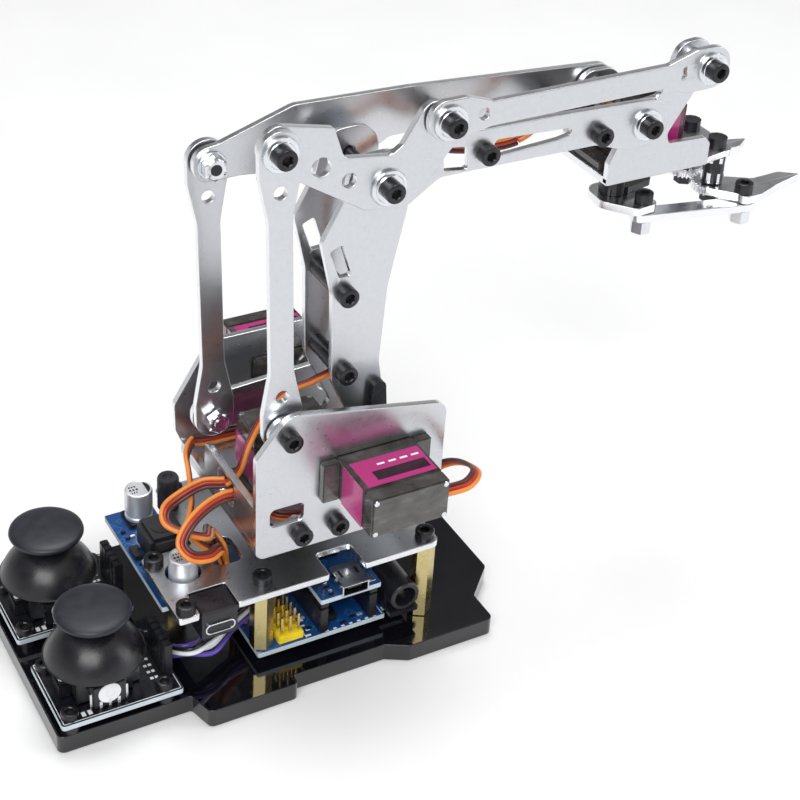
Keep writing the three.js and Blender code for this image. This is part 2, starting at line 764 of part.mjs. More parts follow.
function forearmNear() {
  const drawing = [
    [-6, -6.8, 5.5],
    [7.2, -8.2, 4],
    [16.2, -2.2, 5],
    [24, -2.2, 6],
    [64, -3, 6],
    [74, -6.5, 5],
    [86.5, -6.5, 5.5],
    [86.5, 6.5, 5.5],
    [78, 7.2, 4],
    [50, 8.4, 10],
    [14, 9.2, 6],
    [3, 8, 5],
    [-6.4, 6.4, 5.5],
  ];
  const window = [
    [17.4, -0.6, 0.5],
    [24.4, -1.6, 0.5],
    [24.2, 4.8, 0.5],
    [17, 6, 0.5],
  ];
  const slot = [
    [32.2, 0.2, 1],
    [52, 1.2, 1],
    [58.8, 2.4, 1],
    [54.2, 4, 1],
    [32, 5.2, 1],
  ];
  const holes = [
    circle(...ELBOW, HOLE_R, PIN_SIDES),
    circle(...WRIST, HOLE_R, PIN_SIDES),
    circle(...place([13, 1.8], ELBOW, RISE), 2, 12),
    outline(placeAll(window, ELBOW, RISE)),
    outline(placeAll(slot, ELBOW, RISE)),
    ...FOREARM_SPACERS.map((p) => circle(...place(p, ELBOW, RISE), HOLE_R, PIN_SIDES)),
  ];
  return standing(withHoles(outline(placeAll(drawing, ELBOW, RISE)), holes), Y_FOREARM_NEAR);
}

// Far side of the forearm, carried on behind the elbow to the drive rod.
function forearmFar() {
  const drawing = [
    [-LEVER - 5, -4.6, 4.4],
    [-27, -4.6, 4],
    [-8, -6.8, 6],
    [7, -7, 5],
    [16.2, -2.2, 5],
    [64, -3, 6],
    [74, -6.5, 5],
    [86.5, -6.5, 5.5],
    [86.5, 6.5, 5.5],
    [22, 11, 8],
    [-12, 12.2, 6],
    [-LEVER + 2, 5.4, 3],
    [-LEVER - 5, 4.6, 4.4],
  ];
  const holes = [
    circle(...ELBOW, HOLE_R, PIN_SIDES),
    circle(...WRIST, HOLE_R, PIN_SIDES),
    circle(...ROD_FAR_TOP, HOLE_R, PIN_SIDES),
    ...FOREARM_SPACERS.map((p) => circle(...place(p, ELBOW, RISE), HOLE_R, PIN_SIDES)),
  ];
  return standing(withHoles(outline(placeAll(drawing, ELBOW, RISE)), holes), Y_FOREARM_FAR);
}

function topLink() {
  const drawing = [
    [-6, -4.5, 5],
    [6, -4.8, 4],
    [12, -3.4, 3],
    [66, -3.4, 4],
    [72, -6, 3],
    [86, -6, 5.6],
    [86, 6, 5.6],
    [75, 6, 4],
    [66, 3.2, 3],
    [12, 3.4, 4],
    [5, 6, 4],
    [-6, 6, 5],
  ];
  const kidney = [
    [70.2, -2, 0.4],
    [72.2, -1.4, 0.4],
    [71.8, 2.2, 0.4],
    [70.6, 1.6, 0.3],
  ];
  const holes = [
    circle(...TRIANGLE_TOP, HOLE_R, PIN_SIDES),
    circle(...BRACKET_TOP, HOLE_R, PIN_SIDES),
    circle(...place([9.6, 0.4], TRIANGLE_TOP, RISE), 1.7, 12),
    outline(placeAll(kidney, TRIANGLE_TOP, RISE)),
  ];
  return standing(withHoles(outline(placeAll(drawing, TRIANGLE_TOP, RISE)), holes), Y_ROD_NEAR);
}

function buildForearm() {
  add("elbow_triangle", elbowTriangle(), aluminium());
  add("forearm_near", forearmNear(), aluminium());
  add("forearm_far", forearmFar(), aluminium());
  FOREARM_SPACERS.forEach((p, i) => {
    const at = place(p, ELBOW, RISE);
    const piece = spacerScrew(at, Y_FOREARM_NEAR, Y_FOREARM_NEAR + PLATE, Y_FOREARM_FAR + PLATE);
    add(`forearm_spacer_${i + 1}`, piece, screwBlack());
  });
  add("top_link", topLink(), aluminium());
}

// ---- Gripper ----------------------------------------------------------------------------
const BRACKET_TOP_OFFSET = [BRACKET_TOP[0] - WRIST[0], BRACKET_TOP[1] - WRIST[1]];
const JAW_Y = [GRIP_Y - JAW_PIVOT_SPACING / 2, GRIP_Y + JAW_PIVOT_SPACING / 2];

// One folded sheet: two cheeks and a floor that runs forward under the jaw posts.
function gripperBracket() {
  const floor = BRACKET_FLOOR_Z;
  const [wx, wz] = WRIST;
  const [tx, tz] = BRACKET_TOP_OFFSET;
  const cheek = outline([
    [wx - 9, floor],
    [wx + 25.2, floor],
    [wx + 25.2, floor + 6.8, 1.5],
    [wx + 23.4, floor + 8.8, 1],
    [wx + 10.6, floor + 9.3, 1],
    [wx + 9.6, floor + 12.4, 2],
    [wx + 16.6, wz + 5.4, 4],
    [wx + tx + 5.6, wz + tz - 5, 4],
    [wx + tx + 5.4, wz + tz + 5.6, 5],
    [wx + tx - 5.4, wz + tz + 4.6, 5],
    [wx + 5.4, wz + 6.4, 2],
    [wx - 6.2, wz + 5, 5],
    [wx - 6.2, floor + 12.6, 2],
    [wx - 9, floor + 6.6, 1],
  ]);
  const lowCheek = outline([
    [wx - 9, floor],
    [wx + 25.2, floor],
    [wx + 25.2, floor + 6.8, 1.5],
    [wx + 23.4, floor + 8.8, 1],
    [wx + 10.6, floor + 9.3, 1],
    [wx + 9.6, floor + 12.4, 2],
    [wx + 6.2, wz + 6.2, 5],
    [wx - 6.2, wz + 6.2, 5],
    [wx - 6.2, floor + 12.6, 2],
    [wx - 9, floor + 6.6, 1],
  ]);
  const wristHole = circle(...WRIST, HOLE_R, PIN_SIDES);
  const topHole = circle(...BRACKET_TOP, HOLE_R, PIN_SIDES);
  const near = standing(withHoles(cheek, [wristHole, topHole]), Y_LOWER_NEAR);
  const far = standing(withHoles(lowCheek, [wristHole]), Y_BRACKET_FAR);
  const pan = flat(
    outline([
      [wx - 9, Y_LOWER_NEAR],
      [wx + 25.2, Y_LOWER_NEAR],
      [JAW_PIVOT_X, JAW_Y[0] - 3.6, 1],
      [JAW_PIVOT_X + 4, JAW_Y[0] - 3.6, 3],
      [JAW_PIVOT_X + 4, JAW_Y[1] + 3.6, 3],
      [JAW_PIVOT_X, JAW_Y[1] + 3.6, 1],
      [wx + 25.2, Y_BRACKET_FAR + PLATE],
      [wx - 9, Y_BRACKET_FAR + PLATE],
    ]),
    floor,
  );
  const opening = extrude(servoOpening([GRIP_AXIS_X, GRIP_Y], 1), PLATE + 2).translate(0, 0, floor - 1);
  const postHoles = JAW_Y.map((y) => upright(JAW_PIVOT_X, y, HOLE_R, floor - 1, floor + PLATE + 1, PIN_SIDES));
  return cut(join(near, far, pan), opening, ...postHoles);
}

// Long upright screw with a sleeve between the bracket and the jaw, and a nut below.
function jawPost(y) {
  const floor = BRACKET_FLOOR_Z;
  const x = JAW_PIVOT_X;
  return join(
    upright(x, y, 2.75, floor + PLATE, floor + PLATE + 3, HEAD_SIDES),
    upright(x, y, SCREW_R, JAW_Z - 2.9, floor + PLATE + 0.1, PIN_SIDES),
    upright(x, y, 3.1, JAW_Z + JAW_T + 0.4, floor - 0.1, HEAD_SIDES),
    upright(x, y, 2.75, JAW_Z - 3.4, JAW_Z - 0.4, 6),
  );
}

// Jaw with its pivot at 0, 0, drawn for the near side and mirrored for the far side.
function jaw(side) {
  const drawing = [
    [-5.9, 5.9, 5.6],
    [-5.9, -5.9, 5.6],
    [CRANK[0] - 3, CRANK[1] - 3.6, 3.2],
    [CRANK[0] + 3.8, CRANK[1] - 3.4, 3],
    [16, -9.4, 8],
    [27.4, -6.4],
    [22, -2.6, 4],
    [12.4, -3.2, 4],
    [5.9, 1, 2],
    [5.9, 5.9, 5.6],
  ];
  const signed = drawing.map(([x, y, radius]) => [x, y * side, radius]);
  const holes = [circle(0, 0, HOLE_R, PIN_SIDES), circle(CRANK[0], CRANK[1] * side, HOLE_R, PIN_SIDES)];
  return flat(withHoles(outline(signed), holes), 0, JAW_T);
}

function gripBar() {
  const length = Math.hypot(JAW_PIVOT_X - GRIP_AXIS_X, JAW_Y[0] - GRIP_Y);
  const shape = outline([
    [-3.4, -3.2, 2.8],
    [length + 3.4, -3.2, 2.8],
    [length + 3.4, 3.2, 2.8],
    [length - 5, 2, 8],
    [5, 2, 8],
    [-3.4, 3.2, 2.8],
  ]);
  const holes = [circle(0, 0, HOLE_R, PIN_SIDES), circle(length, 0, HOLE_R, PIN_SIDES)];
  return flat(withHoles(shape, holes), 0, JAW_T);
}

function gripCrank() {
  const [px, py] = CRANK;
  const shape = outline([
    [-5.6, 6, 5.5],
    [-6.4, -4, 5],
    [px - 4.2, py - 3.4, 3.4],
    [px + 4.2, py - 2.6, 3.4],
    [6.4, -2, 4],
    [5.6, 6, 5.5],
  ]);
  return flat(withHoles(shape, [circle(px, py, HOLE_R, PIN_SIDES)]), 0, JAW_T);
}

function gripHorn() {
  const top = JAW_Z + JAW_T + 0.1;
  const shaftEnd = BRACKET_FLOOR_Z + PLATE - CASE_TOP - 5;
  const arm = flat(
    outline([
      [-2.6, -3],
      [3, -3.4],
      [12.6, -1.4, 1.6],
      [12.6, 1.9, 1.6],
      [3, 3.4],
      [-2.6, 3],
    ]),
    top,
    2,
  );
  const hub = upright(0, 0, 3.8, top, BRACKET_FLOOR_Z - 3.9, 20);
  const bore = upright(0, 0, 2.3, shaftEnd - 0.3, BRACKET_FLOOR_Z, 14);
  return cut(join(arm, hub), bore);
}

function buildGripper() {
  add("gripper_bracket", gripperBracket(), aluminium());
  const gripServo = servo().rotateX(Math.PI).rotateZ(Math.PI);
  add("gripper_servo", gripServo, caseBlack(), [GRIP_AXIS_X, GRIP_Y, BRACKET_FLOOR_Z + PLATE]);
  add("jaw_post_near", jawPost(JAW_Y[0]), screwBlack());
  add("jaw_post_far", jawPost(JAW_Y[1]), screwBlack());
  add("jaw_near", jaw(1), aluminium(), [JAW_PIVOT_X, JAW_Y[0], JAW_Z]);
  add("jaw_far", jaw(-1), aluminium(), [JAW_PIVOT_X, JAW_Y[1], JAW_Z]);
  add("grip_crank", gripCrank(), aluminium(), [GRIP_AXIS_X, GRIP_Y, JAW_Z]);
  add("grip_horn", gripHorn(), blackPlastic(), [GRIP_AXIS_X, GRIP_Y, 0]);
  const barFoot = [GRIP_AXIS_X + CRANK[0], GRIP_Y + CRANK[1], BAR_Z];
  const bar = gripBar().rotateZ(Math.atan2(JAW_Y[0] - GRIP_Y, JAW_PIVOT_X - GRIP_AXIS_X));
  add("grip_bar", bar, aluminium(), barFoot);
}

// ---- Servo leads ------------------------------------------------------------------------
// Each runs from its plug on the expansion board, up through the deck, round a slack loop behind
// the turret and in through its back plate or over the notch.
const LEAD_R = 1.2;
const SHOULDER_LEAD = [
  [-23.2, -13.2, BOARD_TOP],
  [-23.4, -13, 20],
  [-26.6, -10.4, 27],
  [-28.2, -9.7, 33],
  [-30.6, -13.4, 38.5],
  [-35.4, -17.4, 40.6],
  [-40.4, -17.4, 42.2],
  [-42, -14, 44.8],
  [-38, -11.6, 49],
  [-31.4, -9.4, 51.4],
  [-25, -9.2, 52.2],
  [-20.4, -12.4, 51.2],
  [-16, -19.4, 49.4],
  [-4, -21.2, 48.6],
  [12, -21.2, 48.6],
  [25, -21.6, 50],
  [31.4, -24, 55],
  [33, -31, 60],
  [32, -40, 63.6],
  [26.4, -45, 64.3],
  [19.3, -45.2, 64.3],
];
const ELBOW_LEAD = [
  [-23.2, -9.8, BOARD_TOP],
  [-23.6, -9.6, 20],
  [-27.4, -7.2, 27],
  [-29.4, -6.4, 33],
  [-32.8, -9, 36.4],
  [-36.8, -6.4, 41.4],
  [-33.4, -0.4, 46.4],
  [-31.4, 6, 51],
  [-29.6, 12, 52.6],
  [-25.4, 17.6, 52.2],
  [-20, 20.6, 49.4],
  [-8, 21.4, 48.4],
  [12, 21.4, 48.4],
  [24, 20.8, 49.6],
  [32, 22.6, 53.6],
  [34, 31, 59],
  [32, 39, 62.8],
  [27, 43.4, 64.3],
  [19.6, 44.2, 64.3],
];
const GRIPPER_LEAD = [
  [-23.2, -6.4, BOARD_TOP],
  [-23.4, -6.2, 20],
  [-25.4, -5.6, 27],
  [-26.2, -5.4, 33],
  [-28.8, -2.4, 37.2],
  [-33.6, -11, 42],
  [-39.6, -10.4, 45],
  [-43.2, -6.6, 46.4],
  [-41.4, -2.2, 48],
  [-36, -1.2, 50.4],
  [-30.6, -2.4, 53],
  [-25, -4.6, 53.4],
  [-21.8, -6.4, 58],
  [-20, -8.4, 67.6],
  [-15.6, -7.8, 74.6],
  [-9, -7, 79.6],
  [-0.6, -7, 81.4],
  [8.4, -7, 85],
  [10.2, -7, 96],
  [9.6, -7, 112],
  [9.4, -7, 128],
  [14.6, -6, 138.4],
  [22.4, -5.4, 143.6],
  [30.6, -5.2, 147.2],
  [36.2, -5, 143.6],
  [41.6, -5, 142],
  [50, -5, 140.8],
  [58.6, -5, 141.2],
  [65, -5, 144.6],
  [70, -5, 149.6],
  [76.4, -5, 151],
  [82.4, -4.8, 149.4],
  [86.6, -4.5, 147.4],
];

function lead(points, steps) {
  const curve = new THREE.CatmullRomCurve3(points.map((p) => new THREE.Vector3(...p)));
  const section = circle(0, 0, LEAD_R, PIN_SIDES);
  return new THREE.ExtrudeGeometry(section, { steps, bevelEnabled: false, extrudePath: curve });
}

function buildLeads() {
  add("lead_shoulder", lead(SHOULDER_LEAD, 40), leadOrange());
  add("lead_elbow", lead(ELBOW_LEAD, 38), leadOrange());
  add("lead_gripper", lead(GRIPPER_LEAD, 64), leadOrange());
}

buildBase();
buildElectronics();
buildJoysticks();
buildTurret();
buildLowerArm();
buildForearm();
buildGripper();
buildLeads();

export default model;
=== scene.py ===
import math

import bmesh
import bpy
from mathutils import Matrix, Vector


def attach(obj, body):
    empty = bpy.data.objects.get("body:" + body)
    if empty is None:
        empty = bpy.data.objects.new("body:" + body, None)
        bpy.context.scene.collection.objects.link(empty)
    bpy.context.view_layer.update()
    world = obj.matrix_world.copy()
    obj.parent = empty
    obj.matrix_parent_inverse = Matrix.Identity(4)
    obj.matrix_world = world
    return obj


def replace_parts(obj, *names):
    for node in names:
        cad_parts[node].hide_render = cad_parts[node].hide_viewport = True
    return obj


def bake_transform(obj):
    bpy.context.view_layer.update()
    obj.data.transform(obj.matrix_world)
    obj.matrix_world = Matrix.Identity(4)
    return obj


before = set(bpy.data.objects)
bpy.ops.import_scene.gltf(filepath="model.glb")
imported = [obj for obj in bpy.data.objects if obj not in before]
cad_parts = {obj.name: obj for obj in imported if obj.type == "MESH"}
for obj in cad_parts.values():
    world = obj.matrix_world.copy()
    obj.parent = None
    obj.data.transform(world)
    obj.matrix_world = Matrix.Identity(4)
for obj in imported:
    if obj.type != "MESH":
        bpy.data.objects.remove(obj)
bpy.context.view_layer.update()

# Desktop robot arm: finer sheets, screws, labels, boards and leads around the frame.
# Drawings are in millimetres, as a workshop drawing is, and MM turns them into metres.
MM = 0.001
ARC_STEP = 7  # degrees between points of a rounded corner
EDGE = 0.22  # rounding of a sheet's edges

# ---- Driving dimensions, the same as the frame's ---------------------------------------------
PLATE = 2.0
LINK = 80
LEVER = 35
LEAN = 1.8
RISE = 1.0
SHOULDER = (13.4, 64.3)
TRIANGLE_REAR = (35, 152.5)
TRIANGLE_FRONT = (22, 46.5)
HOLE_R = 1.75
BASE_TOP = 5.6
EXPANSION_TOP = 10.0
CONTROLLER_TOP = 23.0
POWER_TOP = 27.7
DECK_Z = 30.6
DECK_TOP = 32.6
FLOOR_Z = 44.5
JOYSTICK_TOP = 9.6
Y_SIDE_NEAR = -27.5
Y_ROD_NEAR = -23.5
Y_TRIANGLE = -21
Y_FOREARM_NEAR = -18.5
Y_LOWER_NEAR = -16
Y_LOWER_FAR = 0
Y_BRACKET_FAR = 5
Y_FOREARM_FAR = 7.5
Y_ROD_FAR = 10.5
Y_LEVER = 13.2
Y_SIDE_FAR = 24.5
GRIP_AXIS = (93, -4.5)
JAW_PIVOT_X = 123.3
JAW_Y = (-10.7, 1.7)
CRANK = (4.6, -8.9)
BRACKET_FLOOR_Z = 127.5
JAW_Z = 116
BAR_Z = 113.3
JAW_T = 2.4


def polar(start, length, degrees):
    angle = math.radians(degrees)
    return (start[0] + length * math.cos(angle), start[1] + length * math.sin(angle))


ELBOW = polar(SHOULDER, LINK, 90 + LEAN)
WRIST = polar(ELBOW, LINK, RISE)
ROD_FAR_TOP = polar(ELBOW, LEVER, 180 + RISE)
ROD_FAR_FOOT = polar(SHOULDER, LEVER, 180 + RISE)
ROD_NEAR_TOP = polar(ELBOW, *TRIANGLE_REAR)
ROD_NEAR_FOOT = polar(SHOULDER, *TRIANGLE_REAR)
TRIANGLE_TOP = polar(ELBOW, *TRIANGLE_FRONT)
BRACKET_TOP = polar(WRIST, *TRIANGLE_FRONT)

# ---- Camera ------------------------------------------------------------------------------------
CAMERA_AT = (-0.1846, -0.3600, 0.3485)
CAMERA_TURN = 30.63  # degrees from +Y towards +X
CAMERA_DOWN = 30.84
CAMERA_ROLL = -3.68
CAMERA_LENS = 80.2  # mm on a 36 mm sensor
CAMERA_SHIFT = -0.1375


def make_camera():
    turn, down, roll = (math.radians(v) for v in (CAMERA_TURN, CAMERA_DOWN, CAMERA_ROLL))
    forward = Vector((math.sin(turn) * math.cos(down), math.cos(turn) * math.cos(down), -math.sin(down)))
    level = forward.cross(Vector((0, 0, 1))).normalized()
    under = forward.cross(level)
    right = level * math.cos(roll) + under * math.sin(roll)
    up = -(under * math.cos(roll) - level * math.sin(roll))
    camera = bpy.data.objects.new("camera", bpy.data.cameras.new("camera"))
    camera.data.lens = CAMERA_LENS
    camera.data.sensor_width = 36
    camera.data.shift_y = CAMERA_SHIFT
    camera.data.clip_start = 0.01
    camera.data.clip_end = 20
    turned = Matrix((right, up, -forward)).transposed().to_4x4()
    camera.matrix_world = Matrix.Translation(CAMERA_AT) @ turned
    bpy.context.scene.collection.objects.link(camera)
    bpy.context.scene.camera = camera


make_camera()

# ---- Servo leads: the routes, in metres, from the plug on the board ---------------------------
SHOULDER_LEAD = (
    (-0.0232, -0.0132, 0.0104),
    (-0.0234, -0.0130, 0.0200),
    (-0.0266, -0.0104, 0.0270),
    (-0.0282, -0.0097, 0.0330),
    (-0.0306, -0.0134, 0.0385),
    (-0.0354, -0.0174, 0.0406),
    (-0.0404, -0.0174, 0.0422),
    (-0.0420, -0.0140, 0.0448),
    (-0.0380, -0.0116, 0.0490),
    (-0.0314, -0.0094, 0.0514),
    (-0.0250, -0.0092, 0.0522),
    (-0.0204, -0.0124, 0.0512),
    (-0.0160, -0.0194, 0.0494),
    (-0.0040, -0.0212, 0.0486),
    (0.0120, -0.0212, 0.0486),
    (0.0250, -0.0216, 0.0500),
    (0.0314, -0.0240, 0.0550),
    (0.0330, -0.0310, 0.0600),
    (0.0320, -0.0400, 0.0636),
    (0.0264, -0.0450, 0.0643),
    (0.0193, -0.0452, 0.0643),
)
ELBOW_LEAD = (
    (-0.0232, -0.0098, 0.0104),
    (-0.0236, -0.0096, 0.0200),
    (-0.0274, -0.0072, 0.0270),
    (-0.0294, -0.0064, 0.0330),
    (-0.0328, -0.0090, 0.0364),
    (-0.0368, -0.0064, 0.0414),
    (-0.0334, -0.0004, 0.0464),
    (-0.0314, 0.0060, 0.0510),
    (-0.0296, 0.0120, 0.0526),
    (-0.0254, 0.0176, 0.0522),
    (-0.0200, 0.0206, 0.0494),
    (-0.0080, 0.0214, 0.0484),
    (0.0120, 0.0214, 0.0484),
    (0.0240, 0.0208, 0.0496),
    (0.0320, 0.0226, 0.0536),
    (0.0340, 0.0310, 0.0590),
    (0.0320, 0.0390, 0.0628),
    (0.0270, 0.0434, 0.0643),
    (0.0196, 0.0442, 0.0643),
)
GRIPPER_LEAD = (
    (-0.0232, -0.0064, 0.0104),
    (-0.0234, -0.0062, 0.0200),
    (-0.0254, -0.0056, 0.0270),
    (-0.0262, -0.0054, 0.0330),
    (-0.0288, -0.0024, 0.0372),
    (-0.0336, -0.0110, 0.0420),
    (-0.0396, -0.0104, 0.0450),
    (-0.0432, -0.0066, 0.0464),
    (-0.0414, -0.0022, 0.0480),
    (-0.0360, -0.0012, 0.0504),
    (-0.0306, -0.0024, 0.0530),
    (-0.0250, -0.0046, 0.0534),
    (-0.0218, -0.0064, 0.0580),
    (-0.0200, -0.0084, 0.0676),
    (-0.0156, -0.0078, 0.0746),
    (-0.0090, -0.0070, 0.0796),
    (-0.0006, -0.0070, 0.0814),
    (0.0084, -0.0070, 0.0850),
    (0.0102, -0.0070, 0.0960),
    (0.0096, -0.0070, 0.1120),
    (0.0094, -0.0070, 0.1280),
    (0.0146, -0.0060, 0.1384),
    (0.0224, -0.0054, 0.1436),
    (0.0306, -0.0052, 0.1472),
    (0.0362, -0.0050, 0.1436),
    (0.0416, -0.0050, 0.1420),
    (0.0500, -0.0050, 0.1408),
    (0.0586, -0.0050, 0.1412),
    (0.0650, -0.0050, 0.1446),
    (0.0700, -0.0050, 0.1496),
    (0.0764, -0.0050, 0.1510),
    (0.0824, -0.0048, 0.1494),
    (0.0866, -0.0045, 0.1474),
)

# ---- Mesh helpers --------------------------------------------------------------------------------
def arc_points(points, step=ARC_STEP):
    """Corner points (x, y) or (x, y, radius) as a loop with rounded corners."""
    loop = []
    count = len(points)
    for i, point in enumerate(points):
        corner = Vector(point[:2])
        radius = point[2] if len(point) > 2 else 0
        if not radius:
            loop.append(tuple(corner))
            continue
        back = (Vector(points[i - 1][:2]) - corner).normalized()
        on = (Vector(points[(i + 1) % count][:2]) - corner).normalized()
        half = math.acos(max(-1, min(1, back.dot(on)))) / 2
        reach = radius / math.tan(half)
        start = corner + back * reach
        end = corner + on * reach
        centre = corner + (back + on).normalized() * (radius / math.sin(half))
        first = math.atan2(start.y - centre.y, start.x - centre.x)
        sweep = math.atan2(end.y - centre.y, end.x - centre.x) - first
        sweep = (sweep + math.pi) % (2 * math.pi) - math.pi
        steps = max(3, math.ceil(math.degrees(math.pi - 2 * half) / step))
        for k in range(steps + 1):
            angle = first + sweep * k / steps
            loop.append((centre.x + radius * math.cos(angle), centre.y + radius * math.sin(angle)))
    return loop


def ring(x, y, radius, sides=36):
    turn = 2 * math.pi / sides
    return [(x + radius * math.cos(turn * k), y + radius * math.sin(turn * k)) for k in range(sides)]


def place(point, pivot, degrees):
    """A point of a link's own drawing in the arm's x, z."""
    c, s = math.cos(math.radians(degrees)), math.sin(math.radians(degrees))
    x, z = point[:2]
    return (pivot[0] + x * c - z * s, pivot[1] + x * s + z * c, *point[2:])


def place_all(points, pivot, degrees):
    return [place(point, pivot, degrees) for point in points]


def smooth(mesh, degrees=32):
    mesh.polygons.foreach_set("use_smooth", [True] * len(mesh.polygons))
    mesh.set_sharp_from_angle(angle=math.radians(degrees))


def finish_piece(name, mesh, body, slot, *materials):
    """A mesh in the arm's frame as a piece that rides on a body, or is still free where there is none."""
    for material in materials:
        mesh.materials.append(material)
    obj = bpy.data.objects.new(name, mesh)
    bpy.context.scene.collection.objects.link(obj)
    if body:
        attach(obj, body)
        weighted = obj.modifiers.new("face normals", "WEIGHTED_NORMAL")
        weighted.keep_sharp = True
    return obj


def stand_in(node, mesh, body, slot, *materials):
    """A finer mesh in place of the CAD node of that name."""
    piece = finish_piece("fine_" + node, mesh, body, slot, *materials)
    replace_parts(piece, node)
    return piece


def plate_mesh(name, outer, holes, thickness, edge=EDGE):
    """Flat sheet with rounded edges, from z = 0 to its thickness, in metres."""
    curve = bpy.data.curves.new(name, "CURVE")
    curve.dimensions = "2D"
    curve.fill_mode = "BOTH"
    curve.extrude = (thickness / 2 - edge) * MM
    curve.bevel_depth = edge * MM
    curve.bevel_resolution = 1
    curve.offset = -edge * MM
    for loop in (outer, *holes):
        spline = curve.splines.new("POLY")
        spline.points.add(len(loop) - 1)
        for point, (x, y) in zip(spline.points, loop):
            point.co = (x * MM, y * MM, 0, 1)
        spline.use_cyclic_u = True
    carrier = bpy.data.objects.new(name + "_curve", curve)
    bpy.context.scene.collection.objects.link(carrier)
    graph = bpy.context.evaluated_depsgraph_get()
    mesh = bpy.data.meshes.new_from_object(carrier.evaluated_get(graph))
    bpy.data.objects.remove(carrier)
    bpy.data.curves.remove(curve)
    mesh.materials.clear()
    bm = bmesh.new()
    bm.from_mesh(mesh)
    bmesh.ops.remove_doubles(bm, verts=bm.verts, dist=1e-7)
    bmesh.ops.recalc_face_normals(bm, faces=bm.faces)
    bm.to_mesh(mesh)
    bm.free()
    # Faces round the edge take the second material. For the boards this is their own edge colour. For the
    # aluminium sheets it is a lighter copy of the metal, a painted highlight.
    for polygon in mesh.polygons:
        polygon.material_index = 1 if abs(polygon.normal.z) < 0.5 else 0
    mesh.transform(Matrix.Translation((0, 0, thickness / 2 * MM)))
    smooth(mesh, 50)
    mesh.name = name
    return mesh


def standing(name, outer, holes, low, thickness=PLATE, edge=EDGE):
    """Sheet along the arm: outline in x, z, from y = low."""
    mesh = plate_mesh(name, outer, holes, thickness, edge)
    mesh.transform(Matrix.Translation((0, (low + thickness) * MM, 0)) @ Matrix.Rotation(math.pi / 2, 4, "X"))
    return mesh


def lying(name, outer, holes, low, thickness=PLATE, edge=EDGE):
    """Sheet that lies flat: outline in x, y, from z = low."""
    mesh = plate_mesh(name, outer, holes, thickness, edge)
    mesh.transform(Matrix.Translation((0, 0, low * MM)))
    return mesh


def turned(bm, profile, at, axis, sides=32, material=0):
    """Adds a turned piece. A profile point is (radius, height) or (radius, height, corners of a polygon)."""
    turn = Vector((0, 0, 1)).rotation_difference(Vector(axis).normalized()).to_matrix()
    origin = Vector(at)
    rings = []
    for entry in profile:
        radius, height = entry[:2]
        corners = entry[2] if len(entry) > 2 else 0
        if radius == 0:
            rings.append([bm.verts.new((origin + turn @ Vector((0, 0, height))) * MM)])
            continue
        loop = []
        for k in range(sides):
            angle = 2 * math.pi * k / sides
            reach = radius
            if corners:
                within = (angle + math.pi / corners) % (2 * math.pi / corners) - math.pi / corners
                reach = radius / math.cos(within)
            spot = Vector((reach * math.cos(angle), reach * math.sin(angle), height))
            loop.append(bm.verts.new((origin + turn @ spot) * MM))
        rings.append(loop)
    for low, high in zip(rings, rings[1:]):
        for k in range(sides):
            quad = [low[k % len(low)], low[(k + 1) % len(low)], high[(k + 1) % len(high)],
                    high[k % len(high)]]
            corners = list(dict.fromkeys(quad))
            if len(corners) > 2:
                bm.faces.new(corners).material_index = material
    return rings


def block(bm, low, high, edge=0.0, material=0):
    """Adds a box by its lowest and highest corners, its edges rounded."""
    made = bmesh.ops.create_cube(bm, size=1)["verts"]
    for vert in made:
        vert.co = Vector([(l + h) / 2 + c * (h - l) for l, h, c in zip(low, high, vert.co)]) * MM
    faces = {face for vert in made for face in vert.link_faces}
    for face in faces:
        face.material_index = material
    if edge:
        edges = {e for vert in made for e in vert.link_edges}
        bmesh.ops.bevel(bm, geom=list(edges), offset=edge * MM, segments=2, affect="EDGES",
                        clamp_overlap=True,
                        material=material)


def build(name, body, slot, materials, make, angle=32):
    """A piece whose mesh is filled by make(bm)."""
    bm = bmesh.new()
    make(bm)
    bmesh.ops.remove_doubles(bm, verts=bm.verts, dist=1e-7)
    bmesh.ops.recalc_face_normals(bm, faces=bm.faces)
    mesh = bpy.data.meshes.new(name)
    bm.to_mesh(mesh)
    bm.free()
    smooth(mesh, angle)
    return finish_piece(name, mesh, body, slot, *materials)


# ---- Materials -----------------------------------------------------------------------------------
def nodes_of(name):
    material = bpy.data.materials.new(name)
    material.use_nodes = True
    tree = material.node_tree
    return material, tree, tree.nodes["Principled BSDF"]


def add_node(tree, kind, **sockets):
    node = tree.nodes.new(kind)
    for key, value in sockets.items():
        node.inputs[key.replace("_", " ")].default_value = value
    return node


def noise(tree, scale, detail=3.0, stretch=(1, 1, 1)):
    """Noise over the piece's own place, in cells per metre."""
    coords = tree.nodes.new("ShaderNodeTexCoord")
    mapping = tree.nodes.new("ShaderNodeMapping")
    mapping.inputs["Scale"].default_value = stretch
    texture = add_node(tree, "ShaderNodeTexNoise", Scale=scale, Detail=detail)
    tree.links.new(coords.outputs["Object"], mapping.inputs["Vector"])
    tree.links.new(mapping.outputs["Vector"], texture.inputs["Vector"])
    return texture.outputs["Fac"]


def ramp(tree, source, *stops):
    """Colour ramp with stops (position, colour)."""
    node = tree.nodes.new("ShaderNodeValToRGB")
    elements = node.color_ramp.elements
    while len(elements) < len(stops):
        elements.new(0.5)
    for element, (position, colour) in zip(elements, stops):
        element.position = position
        element.color = (*colour, 1) if len(colour) == 3 else colour
    tree.links.new(source, node.inputs["Fac"])
    return node.outputs["Color"]


def grey(value):
    return (value, value, value)


